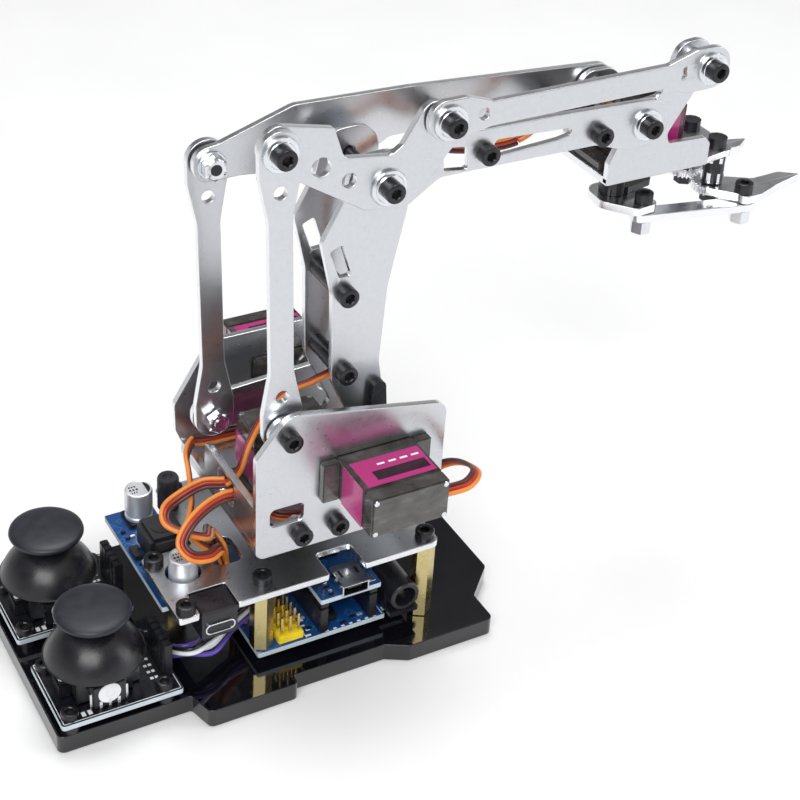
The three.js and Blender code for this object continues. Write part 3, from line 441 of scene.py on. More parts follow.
def surface(name, colour, variation, roughness, spread, metallic=0.0, grain=900, bump=0.02, **constants):
    """Colour and roughness that drift over the surface, and a fine grain as bump."""
    material, tree, shader = nodes_of(name)
    broad = noise(tree, grain / 12, 4)
    fine = noise(tree, grain, 2)
    darker = tuple(c * (1 - variation) for c in colour)
    lighter = tuple(min(1, c * (1 + variation)) for c in colour)
    tree.links.new(ramp(tree, broad, (0.35, darker), (0.65, lighter)), shader.inputs["Base Color"])
    low, high = grey(max(0, roughness - spread)), grey(min(1, roughness + spread))
    tree.links.new(ramp(tree, broad, (0.3, low), (0.7, high)), shader.inputs["Roughness"])
    shader.inputs["Metallic"].default_value = metallic
    for key, value in constants.items():
        shader.inputs[key.replace("_", " ")].default_value = value
    if bump:
        relief = add_node(tree, "ShaderNodeBump", Strength=bump, Distance=0.0002)
        tree.links.new(fine, relief.inputs["Height"])
        tree.links.new(relief.outputs["Normal"], shader.inputs["Normal"])
    return material


SHEET = surface("blasted_aluminium", (0.60, 0.615, 0.64), 0.02, 0.30, 0.03, 1.0, 9000, 0.03)
# Lighter copy of the sheet aluminium. On the sheets' edge faces it is a painted highlight. It is also the
# whole colour of the gripper's jaws, crank and bar.
EDGE_HIGHLIGHT_AND_GRIPPER_METAL = surface("edge_highlight_and_gripper_aluminium", (0.84, 0.85, 0.87), 0.02, 0.24, 0.03, 1.0, 3000, 0.02)
ACRYLIC = surface("black_acrylic", (0.004, 0.004, 0.006), 0.3, 0.09, 0.05, 0.0, 700, 0.01, Coat_Weight=0.5)
MATT_BLACK = surface("black_moulding", (0.013, 0.013, 0.017), 0.25, 0.42, 0.08, 0.0, 2600, 0.25)
SATIN_BLACK = surface("satin_black_moulding", (0.010, 0.010, 0.014), 0.25, 0.30, 0.06, 0.0, 2600, 0.12)
RUBBER = surface("soft_black_cap", (0.010, 0.011, 0.019), 0.25, 0.44, 0.06, 0.0, 3800, 0.15)
OXIDE = surface("black_oxide", (0.018, 0.018, 0.022), 0.3, 0.27, 0.08, 0.35, 3000, 0.08)
ZINC = surface("zinc_plate", (0.70, 0.72, 0.75), 0.06, 0.20, 0.06, 1.0, 2400, 0.05)
BRASS = surface("turned_brass", (0.62, 0.52, 0.25), 0.10, 0.26, 0.06, 1.0, 1800, 0.06)
YELLOW = surface("yellow_header", (0.82, 0.62, 0.02), 0.06, 0.42, 0.06, 0.0, 2000, 0.05)
CAN = surface("capacitor_can", (0.78, 0.80, 0.83), 0.03, 0.42, 0.05, 0.8, 2200, 0.03)
WHITE = surface("white_print", (0.78, 0.80, 0.82), 0.05, 0.5, 0.05, 0.0, 2400, 0.05)
GOLD = surface("gold_pin", (0.78, 0.62, 0.30), 0.05, 0.22, 0.05, 1.0, 2400, 0.03)
ORANGE = surface("orange_insulation", (0.72, 0.23, 0.035), 0.06, 0.34, 0.05, 0.0, 1500, 0.05)
RED = surface("red_insulation", (0.36, 0.028, 0.015), 0.08, 0.34, 0.05, 0.0, 1500, 0.05)
BROWN = surface("brown_insulation", (0.085, 0.022, 0.014), 0.08, 0.34, 0.05, 0.0, 1500, 0.05)
MAGENTA = surface("magenta_label", (0.46, 0.030, 0.19), 0.05, 0.22, 0.05, 0.0, 900, 0.03, Coat_Weight=0.6)
STRIPE = surface("dark_label_stripe", (0.030, 0.006, 0.018), 0.1, 0.22, 0.05, 0.0, 900, 0.03,
                 Coat_Weight=0.6)


def smoked_case():
    """Dark translucent moulding with cloudy flow lines."""
    material, tree, shader = nodes_of("smoked_servo_case")
    cloud = noise(tree, 190, 5, (1, 1, 1.8))
    colour = ramp(tree, cloud, (0.32, (0.030, 0.027, 0.026)), (0.56, (0.062, 0.056, 0.052)),
                  (0.66, (0.09, 0.085, 0.082)), (0.74, (0.055, 0.05, 0.046)))
    tree.links.new(colour, shader.inputs["Base Color"])
    tree.links.new(ramp(tree, cloud, (0.3, grey(0.14)), (0.7, grey(0.24))), shader.inputs["Roughness"])
    shader.inputs["Coat Weight"].default_value = 0.6
    shader.inputs["Coat Roughness"].default_value = 0.08
    relief = add_node(tree, "ShaderNodeBump", Strength=0.06, Distance=0.0002)
    tree.links.new(noise(tree, 1600, 2), relief.inputs["Height"])
    tree.links.new(relief.outputs["Normal"], shader.inputs["Normal"])
    return material


def circuit_board(name, mask, trace, cell):
    """Solder mask over copper: square-edged tracks show as a lighter tone and a small step."""
    material, tree, shader = nodes_of(name)
    coords = tree.nodes.new("ShaderNodeTexCoord")
    tracks = add_node(tree, "ShaderNodeTexVoronoi", Scale=cell)
    tracks.distance = "MANHATTAN"
    tree.links.new(coords.outputs["Object"], tracks.inputs["Vector"])
    lines = ramp(tree, tracks.outputs["Distance"], (0.40, mask), (0.44, trace), (0.52, trace), (0.56, mask))
    tree.links.new(lines, shader.inputs["Base Color"])
    shader.inputs["Roughness"].default_value = 0.28
    shader.inputs["Coat Weight"].default_value = 0.4
    relief = add_node(tree, "ShaderNodeBump", Strength=0.15, Distance=0.0001)
    tree.links.new(tracks.outputs["Distance"], relief.inputs["Height"])
    tree.links.new(relief.outputs["Normal"], shader.inputs["Normal"])
    return material


SMOKED = smoked_case()
BLUE_BOARD = circuit_board("blue_board", (0.008, 0.055, 0.20), (0.02, 0.12, 0.34), 260)
BLACK_BOARD = circuit_board("black_board", (0.006, 0.007, 0.011), (0.012, 0.014, 0.02), 300)
VIOLET = surface("violet_insulation", (0.12, 0.07, 0.42), 0.05, 0.35, 0.05, 0.0, 1500, 0.03)
BOARD_EDGE = surface("board_edge", (0.50, 0.58, 0.62), 0.05, 0.45, 0.05, 0.0, 2600, 0.03)

# ---- Sheets that replace the frame's coarser ones ---------------------------------------------------
def sheet(node, outer, holes, low, body, materials=(SHEET, EDGE_HIGHLIGHT_AND_GRIPPER_METAL), upright=True, thickness=PLATE,
          slot="aluminium_sheet"):
    """A finer copy of a CAD sheet, with round corners, that stands for it."""
    make = standing if upright else lying
    mesh = make("fine_" + node, arc_points(outer), holes, low, thickness)
    return stand_in(node, mesh, body, slot, *materials)


def servo_opening(x, y):
    """Opening in a sheet for a servo case whose shaft is at x, y."""
    middle = x - 5.9
    return [(middle - 11.7, y - 6.4), (middle + 11.7, y - 6.4), (middle + 11.7, y + 6.4),
            (middle - 11.7, y + 6.4)]


def make_base():
    front = [(-83.5, -30, 2), (-46.2, -30, 1), (-44, -38, 2), (-18, -38, 1.5), (-17.8, -34.5, 0.8),
             (10.5, -34.5, 1.5), (16.8, -38, 2), (44.4, -38, 2), (44.4, -27, 1.5), (54.3, -17, 2)]
    back = [(x, -y, r) for x, y, r in reversed(front[3:])]
    rear_left = [(-44, 38, 2), (-46.2, 35, 1), (-83.5, 35, 2)]
    sheet("base_plate", front + back + rear_left, [], 0, "base", (ACRYLIC,), False, BASE_TOP,
          "black_acrylic")
    deck = [(-49.2, -29.3, 1), (-43.2, -29.3, 0.6), (-43.2, -20.2, 0.8), (-32.2, -20.2, 0.8),
            (-32.2, -29.3, 0.6),
            (-5, -29.3, 0.6), (-5, -19.6, 1.5), (6, -19.6, 1.5), (6, -29.3, 0.6), (29.6, -29.3, 2.5),
            (29.6, 26, 2), (-34, 26, 1.5), (-34, -1.7, 1), (-49.2, -1.7, 1.5)]
    lead_hole = arc_points([(-31.8, -13.4, 2.6), (-23.2, -13.4, 2.6), (-23.2, -2, 2.6), (-31.8, -2, 2.6)])
    holes = [ring(x, y, HOLE_R) for x, y in ((-22.8, -23.8), (26.5, -25.6), (26.5, 22), (-29.6, 22))]
    sheet("deck_plate", deck, [*holes, ring(-40.6, -11.4, 4.9), lead_hole], DECK_Z, "base", upright=False)


def make_turret_sheets():
    near = [(-25, 43.3, 2), (29, 43.3, 2), (29.3, 78.6, 4), (-17.8, 87.6, 6), (-27, 75.8, 2),
            (-26.6, 45, 1.5)]
    slot = arc_points([(-22.6, 52.8, 1.6), (-12.8, 52.8, 1.6), (-12.8, 58.6, 1.6), (-22.6, 58.6, 1.6)])
    holes = [ring(x, 48.8, HOLE_R) for x in (-13.8, -3)]
    opening = servo_opening(*SHOULDER)
    sheet("side_plate_near", near, [slot, opening, ring(*ROD_NEAR_FOOT, HOLE_R), *holes], Y_SIDE_NEAR,
          "turret")
    far = [(-24, 43.3, 2), (29, 43.3, 2), (29.3, 74, 3), (22, 79.4, 2), (-17, 79.4, 3), (-28, 61, 2),
           (-27.6, 52, 2)]
    sheet("side_plate_far", far, [opening], Y_SIDE_FAR, "turret")
    notch, top = (8, FLOOR_Z + PLATE + 1.6), 58.5
    low_y = Y_SIDE_NEAR + PLATE
    back = [(low_y, FLOOR_Z + PLATE), (Y_SIDE_FAR, FLOOR_Z + PLATE), (Y_SIDE_FAR, notch[1], 1),
            (notch[0], notch[1], 0.6), (notch[0], top, 1.2), (low_y, top, 0.8)]
    hole = arc_points([(-11.8, 49.4, 2), (-1, 49.4, 2), (-1, 57, 2), (-11.8, 57, 2)])
    mesh = plate_mesh("fine_back_plate", arc_points(back), [hole], PLATE)
    across = Matrix(((0, 0, 1, -26 * MM), (1, 0, 0, 0), (0, 1, 0, 0), (0, 0, 0, 1)))
    mesh.transform(across)
    stand_in("back_plate", mesh, "turret", "aluminium_sheet", SHEET, EDGE_HIGHLIGHT_AND_GRIPPER_METAL)


LOWER_SIDE = [(-5.2, -3, 3), (6.4, -3, 3), (3, 14, 8), (1.4, 25, 8), (3.4, 47.5, 20), (8.6, 69.4, 8),
              (8.6, 87, 7),
              (-7, 87, 7), (-9.8, 75.3, 1), (-15.8, 64.7, 2.5), (-12.7, 49, 8), (-12.7, 22, 5), (-5.2, 4.5,
                  4)]
LOWER_SLOT = [(-13.4, 61.9, 0.7), (-10, 63.2, 0.7), (-7.2, 53.6, 0.7), (-10.7, 53.5, 0.7)]
LOWER_SPACERS = [place(p, SHOULDER, LEAN) for p in ((-9, 48.5), (-9, 24.4))]
FOREARM_SPACERS = [place(p, ELBOW, RISE) for p in ((29.6, 2.2), (64.8, 0.3))]


def make_lower_arm():
    outer = place_all(LOWER_SIDE, SHOULDER, LEAN)
    slot = arc_points(place_all(LOWER_SLOT, SHOULDER, LEAN))
    holes = [slot, ring(*ELBOW, HOLE_R), *(ring(*p, HOLE_R) for p in LOWER_SPACERS)]
    for side, low in (("near", Y_LOWER_NEAR), ("far", Y_LOWER_FAR)):
        sheet(f"lower_arm_{side}", outer, holes, low, "lower_arm")
        boss = standing("boss", ring(*SHOULDER, 6.6, 48), [ring(*SHOULDER, 1.6)], low - 0.06, PLATE + 0.12)
        finish_piece(f"lower_arm_hub_{side}", boss, "lower_arm", "aluminium_sheet", SHEET, EDGE_HIGHLIGHT_AND_GRIPPER_METAL)


def rod(node, foot, top, low, body):
    """Link with round ends, a slimmer waist and a small hole near each end."""
    length = math.dist(foot, top)
    lean = math.degrees(math.atan2(top[1] - foot[1], top[0] - foot[0])) - 90
    end, waist = 5.6, 3.3
    side = [(-waist, 18, 12), (-end, 6, 4), (-end, -end - 0.1, 5.5), (end, -end - 0.1, 5.5), (end, 6, 4),
            (waist, 18, 12)]
    mirrored = [(x, length - z, r) for x, z, r in reversed(side)]
    holes = [ring(*foot, HOLE_R), ring(*top, HOLE_R)]
    holes += [ring(*place((0, z), foot, lean), 1.8) for z in (10.5, length - 10.5)]
    sheet(node, place_all(side + mirrored, foot, lean), holes, low, body)


def make_rods():
    rod("level_rod", ROD_NEAR_FOOT, ROD_NEAR_TOP, Y_ROD_NEAR, "level_rod")
    rod("drive_rod", ROD_FAR_FOOT, ROD_FAR_TOP, Y_ROD_FAR, "drive_rod")
    lever = [(-LEVER - 5.6, -5.6, 5.4), (0, -7.6, 3), (7.6, -7.6, 7), (7.6, 7.6, 7), (0, 7.6, 3),
             (-LEVER - 5.6, 5.6, 5.4)]
    holes = [ring(*SHOULDER, 2.2), ring(*ROD_FAR_FOOT, HOLE_R)]
    sheet("elbow_lever", place_all(lever, SHOULDER, RISE), holes, Y_LEVER, "lever")


def make_triangle():
    rear = (ROD_NEAR_TOP[0] - ELBOW[0], ROD_NEAR_TOP[1] - ELBOW[1])
    front = (TRIANGLE_TOP[0] - ELBOW[0], TRIANGLE_TOP[1] - ELBOW[1])
    outer = [(6, -6.5, 6), (-6, -5.5, 5), (-12, -1.8, 1), (rear[0] + 4, rear[1] - 8.5, 6),
             (rear[0] - 7, rear[1] - 1, 5),
             (rear[0] - 1, rear[1] + 6.4, 5), (-15.6, 19, 1), (-12.6, 10.4, 2), (0.4, 8.6, 2), (3.4, 10.6,
                 2),
             (front[0] - 5, front[1] + 5.6, 5), (front[0] + 6, front[1] + 4, 5), (front[0] + 4, front[1] - 7,
                 5)]
    holes = [ring(*p, HOLE_R) for p in (ELBOW, ROD_NEAR_TOP, TRIANGLE_TOP)]
    holes += [ring(*place((-18.8, 9), ELBOW, 0), 2.6), ring(*place((-11, 3.9), ELBOW, 0), 2)]
    sheet("elbow_triangle", place_all(outer, ELBOW, 0), holes, Y_TRIANGLE, "triangle")


def make_forearm():
    near = [(-6, -6.8, 5.5), (7.2, -8.2, 4), (16.2, -2.2, 5), (24, -2.2, 6), (64, -3, 6), (74, -6.5, 5),
            (86.5, -6.5, 5.5), (86.5, 6.5, 5.5), (78, 7.2, 4), (50, 8.4, 10), (14, 9.2, 6), (3, 8, 5), (-6.4,
                6.4, 5.5)]
    window = [(17.4, -0.6, 0.7), (24.4, -1.6, 0.7), (24.2, 4.8, 0.7), (17, 6, 0.7)]
    slot = [(32.2, 0.2, 1.4), (52, 1.2, 1.4), (58.8, 2.4, 1), (54.2, 4, 1.4), (32, 5.2, 1.4)]
    pivots = [ring(*ELBOW, HOLE_R), ring(*WRIST, HOLE_R), *(ring(*p, HOLE_R) for p in FOREARM_SPACERS)]
    cuts = [arc_points(place_all(shape, ELBOW, RISE)) for shape in (window, slot)]
    cuts.append(ring(*place((13, 1.8), ELBOW, RISE), 2))
    sheet("forearm_near", place_all(near, ELBOW, RISE), pivots + cuts, Y_FOREARM_NEAR, "forearm")
    far = [(-LEVER - 5, -4.6, 4.4), (-27, -4.6, 4), (-8, -6.8, 6), (7, -7, 5), (16.2, -2.2, 5), (64, -3, 6),
           (74, -6.5, 5), (86.5, -6.5, 5.5), (86.5, 6.5, 5.5), (22, 11, 8), (-12, 12.2, 6), (-LEVER + 2, 5.4,
               3),
           (-LEVER - 5, 4.6, 4.4)]
    sheet("forearm_far", place_all(far, ELBOW, RISE), [*pivots, ring(*ROD_FAR_TOP, HOLE_R)], Y_FOREARM_FAR,
          "forearm")
    link = [(-6, -4.5, 5), (6, -4.8, 4), (12, -3.4, 3), (66, -3.4, 4), (72, -6, 3), (86, -6, 5.6),
            (86, 6, 5.6),
            (75, 6, 4), (66, 3.2, 3), (12, 3.4, 4), (5, 6, 4), (-6, 6, 5)]
    kidney = arc_points(place_all([(70.2, -2, 0.5), (72.2, -1.4, 0.5), (71.8, 2.2, 0.5), (70.6, 1.6, 0.4)],
                                  TRIANGLE_TOP, RISE))
    holes = [ring(*TRIANGLE_TOP, HOLE_R), ring(*BRACKET_TOP, HOLE_R),
             ring(*place((9.6, 0.4), TRIANGLE_TOP, RISE), 1.7)]
    sheet("top_link", place_all(link, TRIANGLE_TOP, RISE), [*holes, kidney], Y_ROD_NEAR, "top_link")


def make_bracket():
    """Two cheeks and the floor between them, one folded sheet."""
    floor = BRACKET_FLOOR_Z
    wx, wz = WRIST
    tx, tz = BRACKET_TOP[0] - wx, BRACKET_TOP[1] - wz
    cheek = [(wx - 9, floor, 0.6), (wx + 25.2, floor, 0.6), (wx + 25.2, floor + 6.8, 1.5),
             (wx + 23.4, floor + 8.8, 1),
             (wx + 10.6, floor + 9.3, 1), (wx + 9.6, floor + 12.4, 2), (wx + 16.6, wz + 5.4, 4),
             (wx + tx + 5.6, wz + tz - 5, 4), (wx + tx + 5.4, wz + tz + 5.6, 5), (wx + tx - 5.4,
                 wz + tz + 4.6, 5),
             (wx + 5.4, wz + 6.4, 2), (wx - 6.2, wz + 5, 5), (wx - 6.2, floor + 12.6, 2), (wx - 9,
                 floor + 6.6, 1)]
    pivots = [ring(*WRIST, HOLE_R), ring(*BRACKET_TOP, HOLE_R)]
    piece = sheet("gripper_bracket", cheek, pivots, Y_LOWER_NEAR, "bracket")
    low_cheek = [*cheek[:6], (wx + 6.2, wz + 6.2, 5), (wx - 6.2, wz + 6.2, 5), *cheek[12:]]
    mesh = standing("low_cheek", arc_points(low_cheek), pivots[:1], Y_BRACKET_FAR, PLATE)
    finish_piece("gripper_bracket_far_cheek", mesh, "bracket", "aluminium_sheet", SHEET, EDGE_HIGHLIGHT_AND_GRIPPER_METAL)
    near, far = JAW_Y
    pan = [(wx - 9, Y_LOWER_NEAR + 0.3), (wx + 25, Y_LOWER_NEAR + 0.3), (JAW_PIVOT_X, near - 3.6, 1),
           (JAW_PIVOT_X + 4, near - 3.6, 3), (JAW_PIVOT_X + 4, far + 3.6, 3), (JAW_PIVOT_X, far + 3.6, 1),
           (wx + 25, Y_BRACKET_FAR + 1.7), (wx - 9, Y_BRACKET_FAR + 1.7)]
    x, y = GRIP_AXIS
    opening = [(x - 5.8, y - 6.4), (x + 17.6, y - 6.4), (x + 17.6, y + 6.4), (x - 5.8, y + 6.4)]
    posts = [ring(JAW_PIVOT_X, jaw_y, HOLE_R) for jaw_y in JAW_Y]
    mesh = lying("pan", arc_points(pan), [opening, *posts], floor, PLATE)
    finish_piece("gripper_bracket_floor", mesh, "bracket", "aluminium_sheet", SHEET, EDGE_HIGHLIGHT_AND_GRIPPER_METAL)
    return piece


def jaw_outline(side, pivot):
    """Jaw with a geared hub round its pivot, a link arm and a hooked finger."""
    finger = [(CRANK[0] - 3, CRANK[1] - 3.6, 2.2), (CRANK[0] + 3.8, CRANK[1] - 3.4, 2), (16, -9.4, 5),
              (27.4, -6.4, 0.4),
              (22, -2.6, 3), (12.4, -3.2, 3), (5.0, 1.4, 0.8)]
    teeth = 16
    loop = arc_points([(x, y * side, r) for x, y, r in finger], 9)
    hub = []
    for k in range(4 * teeth):
        angle = math.radians(12) + math.radians(208) * k / (4 * teeth - 1)
        reach = 5.25 + 0.42 * max(-1, min(1, 2.2 * math.sin(math.pi * k / 2 + 0.6)))
        hub.append((reach * math.cos(angle), side * reach * math.sin(angle)))
    return [(x + pivot[0], y + pivot[1]) for x, y in loop + hub]


def make_gripper_sheets():
    for name, side, jaw_y in (("near", 1, JAW_Y[0]), ("far", -1, JAW_Y[1])):
        pivot = (JAW_PIVOT_X, jaw_y)
        holes = [ring(*pivot, HOLE_R), ring(pivot[0] + CRANK[0], jaw_y + side * CRANK[1], HOLE_R)]
        mesh = lying("fine_jaw_" + name, jaw_outline(side, pivot), holes, JAW_Z, JAW_T, 0.18)
        stand_in("jaw_" + name, mesh, "jaw_" + name, "jaw_aluminium", EDGE_HIGHLIGHT_AND_GRIPPER_METAL)
    px, py = CRANK
    crank = [(-5.6, 6, 4.5), (-6.4, -4, 3), (px - 4.2, py - 3.4, 2.4), (px + 4.2, py - 2.6, 2.4),
             (6.4, -2, 3), (5.6, 6, 4.5)]
    x, y = GRIP_AXIS
    mesh = lying("fine_grip_crank", [(u + x, v + y) for u, v in arc_points(crank)],
                 [ring(x + px, y + py, HOLE_R)],
                 JAW_Z, JAW_T)
    stand_in("grip_crank", mesh, "crank", "jaw_aluminium", EDGE_HIGHLIGHT_AND_GRIPPER_METAL)
    reach = (JAW_PIVOT_X - x, JAW_Y[0] - y)
    length = math.hypot(*reach)
    bar = [(-3.4, -3.2, 2.2), (length + 3.4, -3.2, 2.2), (length + 3.4, 3.2, 2.2), (length - 5, 2, 4),
           (5, 2, 4), (-3.4, 3.2, 2.2)]
    turn = math.degrees(math.atan2(reach[1], reach[0]))
    foot = (x + px, y + py)
    outer = [place(p, foot, turn) for p in arc_points(bar)]
    holes = [ring(*foot, HOLE_R), ring(*place((length, 0), foot, turn), HOLE_R)]
    mesh = lying("fine_grip_bar", outer, holes, BAR_Z, JAW_T)
    stand_in("grip_bar", mesh, "grip_bar", "jaw_aluminium", EDGE_HIGHLIGHT_AND_GRIPPER_METAL)
    return foot, place((length, 0), foot, turn)


make_base()
make_turret_sheets()
make_lower_arm()
make_rods()
make_triangle()
make_forearm()
make_bracket()
LINK_SCREWS = make_gripper_sheets()

# ---- Screws, nuts, washers ------------------------------------------------------------------------
NEARWARD = (0, -1, 0)
FARWARD = (0, 1, 0)
UP = (0, 0, 1)


def steel_part(name, body, make):
    return build(name, body, "zinc_steel", (ZINC,), make)


def screw_part(name, body, make):
    return build(name, body, "black_oxide_screw", (OXIDE,), make)


def cap_head(bm, at, axis, radius=2.75, height=3.0):
    """Socket cap head that stands on its seat at the point given."""
    socket = radius * 0.46
    turned(bm, [(0, 0), (radius, 0), (radius, height - 0.35), (radius - 0.12, height - 0.12),
                (radius - 0.38, height),
                (socket + 0.25, height), (socket, height - 0.2, 6), (socket, height * 0.42, 6), (0,
                    height * 0.3)],
           at, axis, 36)


def washer(bm, at, axis, radius, thickness=0.6, inner=1.6):
    rim = 0.12
    turned(bm, [(inner, 0), (radius - rim, 0), (radius, rim), (radius, thickness - rim),
                (radius - rim, thickness),
                (inner, thickness), (inner, 0)], at, axis, 40)


def collar(bm, at, axis, radius, height, tip):
    """Flanged bearing: a wide foot that steps in to a narrower ring."""
    turned(bm, [(1.6, 0), (radius - 0.15, 0), (radius, 0.15), (radius, 0.8), (radius - 0.15, 0.95),
                (tip, 1.0),
                (tip, height - 0.15), (tip - 0.15, height), (1.6, height), (1.6, 0)], at, axis, 40)


def hex_nut(bm, at, axis, across=2.75, height=2.4):
    turned(bm, [(1.25, 0), (across * 0.9, 0), (across, 0.3, 6), (across, height - 0.3, 6),
                (across * 0.9, height),
                (1.55, height), (1.25, height - 0.3), (1.25, 0)], at, axis, 48)


def rod_bar(bm, at, axis, radius, length):
    turned(bm, [(0, 0), (radius, 0), (radius, length), (0, length)], at, axis, 24)


def across(pivot, y):
    return (pivot[0], y, pivot[1])


def near_pivot(name, pivot, face, body, flange, seat=1.0):
    """Cap screw on a flanged bearing on the near side of a link whose near face is at y = face."""
    if flange:
        steel_part(name + "_flange", body,
              lambda bm: collar(bm, across(pivot, face), NEARWARD, flange, seat + 0.4, flange - 1.1))
    screw_part(name + "_screw", body,
          lambda bm: cap_head(bm, across(pivot, face - seat - 0.4 if flange else face), NEARWARD))


def shank(name, pivot, low, high, body, radius=1.5):
    steel_part(name + "_shank", body,
          lambda bm: rod_bar(bm, across(pivot, low), FARWARD, radius, high - low))


def make_pivots():
    near_pivot("rod_top_pivot", ROD_NEAR_TOP, Y_ROD_NEAR, "triangle", 4.7, 0.8)
    shank("rod_top_pivot", ROD_NEAR_TOP, Y_ROD_NEAR - 1, Y_TRIANGLE + PLATE + 2.2, "triangle")
    near_pivot("link_rear_pivot", TRIANGLE_TOP, Y_ROD_NEAR, "triangle", 4.7, 0.8)
    shank("link_rear_pivot", TRIANGLE_TOP, Y_ROD_NEAR - 1, Y_TRIANGLE + PLATE + 2.2, "triangle")
    near_pivot("link_front_pivot", BRACKET_TOP, Y_ROD_NEAR, "bracket", 4.5, 0.8)
    shank("link_front_pivot", BRACKET_TOP, Y_ROD_NEAR - 1, Y_LOWER_NEAR + PLATE + 2.2, "bracket")
    steel_part("link_front_sleeve", "bracket", lambda bm: turned(
        bm, [(1.6, 0), (3, 0), (3, 5.4), (1.6, 5.4), (1.6, 0)], across(BRACKET_TOP, -21.45), FARWARD, 32))
    near_pivot("wrist_pivot", WRIST, Y_FOREARM_NEAR, "forearm", 4.5, 0.8)
    shank("wrist_pivot", WRIST, Y_FOREARM_NEAR - 1, Y_LOWER_NEAR + PLATE + 2.4, "forearm")
    near_pivot("rod_foot_pivot", ROD_NEAR_FOOT, Y_SIDE_NEAR, "turret", 0)
    shank("rod_foot_pivot", ROD_NEAR_FOOT, Y_SIDE_NEAR - 0.5, Y_ROD_NEAR + PLATE + 2.4, "turret")
    steel_part("rod_foot_bearing", "turret", lambda bm: turned(
        bm, [(1.6, 0), (5, 0), (5, 1.5), (3.6, 1.7), (3.6, 1.95), (1.6, 1.95), (1.6, 0)],
        across(ROD_NEAR_FOOT, Y_SIDE_NEAR + PLATE), FARWARD, 40))
    for name, pivot, y, body in (("rod_top", ROD_NEAR_TOP, Y_TRIANGLE + PLATE, "triangle"),
                                 ("link_rear", TRIANGLE_TOP, Y_TRIANGLE + PLATE, "triangle"),
                                 ("link_front", BRACKET_TOP, Y_LOWER_NEAR + PLATE, "bracket"),
                                 ("wrist", WRIST, Y_LOWER_NEAR + PLATE + 0.1, "forearm"),
                                 ("rod_foot", ROD_NEAR_FOOT, Y_ROD_NEAR + PLATE + 0.1, "turret"),
                                 ("elbow", ELBOW, Y_FOREARM_FAR + PLATE + 0.2, "lower_arm")):
        steel_part(name + "_nut", body, lambda bm: hex_nut(bm, across(pivot, y), FARWARD))
    screw_part("wrist_far_screw", "forearm",
          lambda bm: cap_head(bm, across(WRIST, Y_FOREARM_FAR + PLATE + 0.1), FARWARD))
    steel_part("wrist_far_nut", "forearm",
          lambda bm: hex_nut(bm, across(WRIST, Y_BRACKET_FAR - 0.1), NEARWARD))
    steel_part("rod_far_top_nut", "forearm",
          lambda bm: (washer(bm, across(ROD_FAR_TOP, Y_FOREARM_FAR), NEARWARD, 3.9, 0.5),
                      hex_nut(bm, across(ROD_FAR_TOP, Y_FOREARM_FAR - 0.5), NEARWARD, 2.9, 2.6)))
    screw_part("rod_far_top_screw", "forearm",
          lambda bm: (rod_bar(bm, across(ROD_FAR_TOP, Y_FOREARM_FAR - 3.4), FARWARD, 1.45, 9),
                      cap_head(bm, across(ROD_FAR_TOP, Y_ROD_FAR + PLATE + 0.2), FARWARD)))
    pin = steel_part("fine_lever_pin", "lever_pin",
                lambda bm: (hex_nut(bm, across(ROD_FAR_FOOT, Y_ROD_FAR - 0.4), NEARWARD, 2.9, 2.6),
                            rod_bar(bm, across(ROD_FAR_FOOT, Y_ROD_FAR - 3.4), FARWARD, 1.45, 9),
                            cap_head(bm, across(ROD_FAR_FOOT, Y_LEVER + PLATE + 0.2), FARWARD)))
    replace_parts(pin, "lever_pin")
    elbow = screw_part("fine_elbow_screw", "lower_arm",
                  lambda bm: (cap_head(bm, across(ELBOW, Y_TRIANGLE - 1.5), NEARWARD),
                              rod_bar(bm, across(ELBOW, Y_TRIANGLE - 1.6), FARWARD, 1.5, 32.6)))
    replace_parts(elbow, "elbow_screw")
    steel_part("elbow_flange", "lower_arm",
          lambda bm: collar(bm, across(ELBOW, Y_TRIANGLE - 0.05), NEARWARD, 4.9, 1.45, 3.9))


def make_spacers():
    for i, pivot in enumerate(LOWER_SPACERS, 1):
        spacer(f"lower_arm_spacer_{i}", pivot, "lower_arm", Y_LOWER_NEAR, Y_LOWER_FAR)
    for i, pivot in enumerate(FOREARM_SPACERS, 1):
        spacer(f"forearm_spacer_{i}", pivot, "forearm", Y_FOREARM_NEAR, Y_FOREARM_FAR)


def spacer(node, pivot, body, near, far):
    """Cap screw on the near sheet and a round sleeve that holds the far one."""
    inner = near + PLATE

    def make(bm):
        cap_head(bm, across(pivot, near), NEARWARD)
        rod_bar(bm, across(pivot, near - 0.1), FARWARD, 1.5, far + PLATE + 2.4 - near)
        turned(bm, [(1.5, 0), (2.6, 0), (2.6, far - inner), (1.5, far - inner)], across(pivot, inner),
               FARWARD, 32)

    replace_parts(screw_part("fine_" + node, body, make), node)
    steel_part(node + "_nut", body, lambda bm: hex_nut(bm, across(pivot, far + PLATE), FARWARD))


def make_flat_screws():
    """Cap screws on the deck and low on the near side plate."""
    for i, (x, y) in enumerate(((-46.6, -5.2), (-46.2, -26.6), (-22.8, -23.8), (26.5, -25.6), (26.5, 22),
                                (-29.6, 22)), 1):
        screw_part(f"deck_screw_{i}", "base",
              lambda bm: cap_head(bm, (x, y, DECK_TOP), UP, 2.7, 2.6))
    for i, x in enumerate((-13.8, -3), 1):
        screw_part(f"side_plate_screw_{i}", "turret",
              lambda bm: cap_head(bm, (x, Y_SIDE_NEAR, 48.8), NEARWARD))
        steel_part(f"side_plate_nut_{i}", "turret",
              lambda bm: hex_nut(bm, (x, Y_SIDE_NEAR + PLATE, 48.8), (0, 1, 0)))


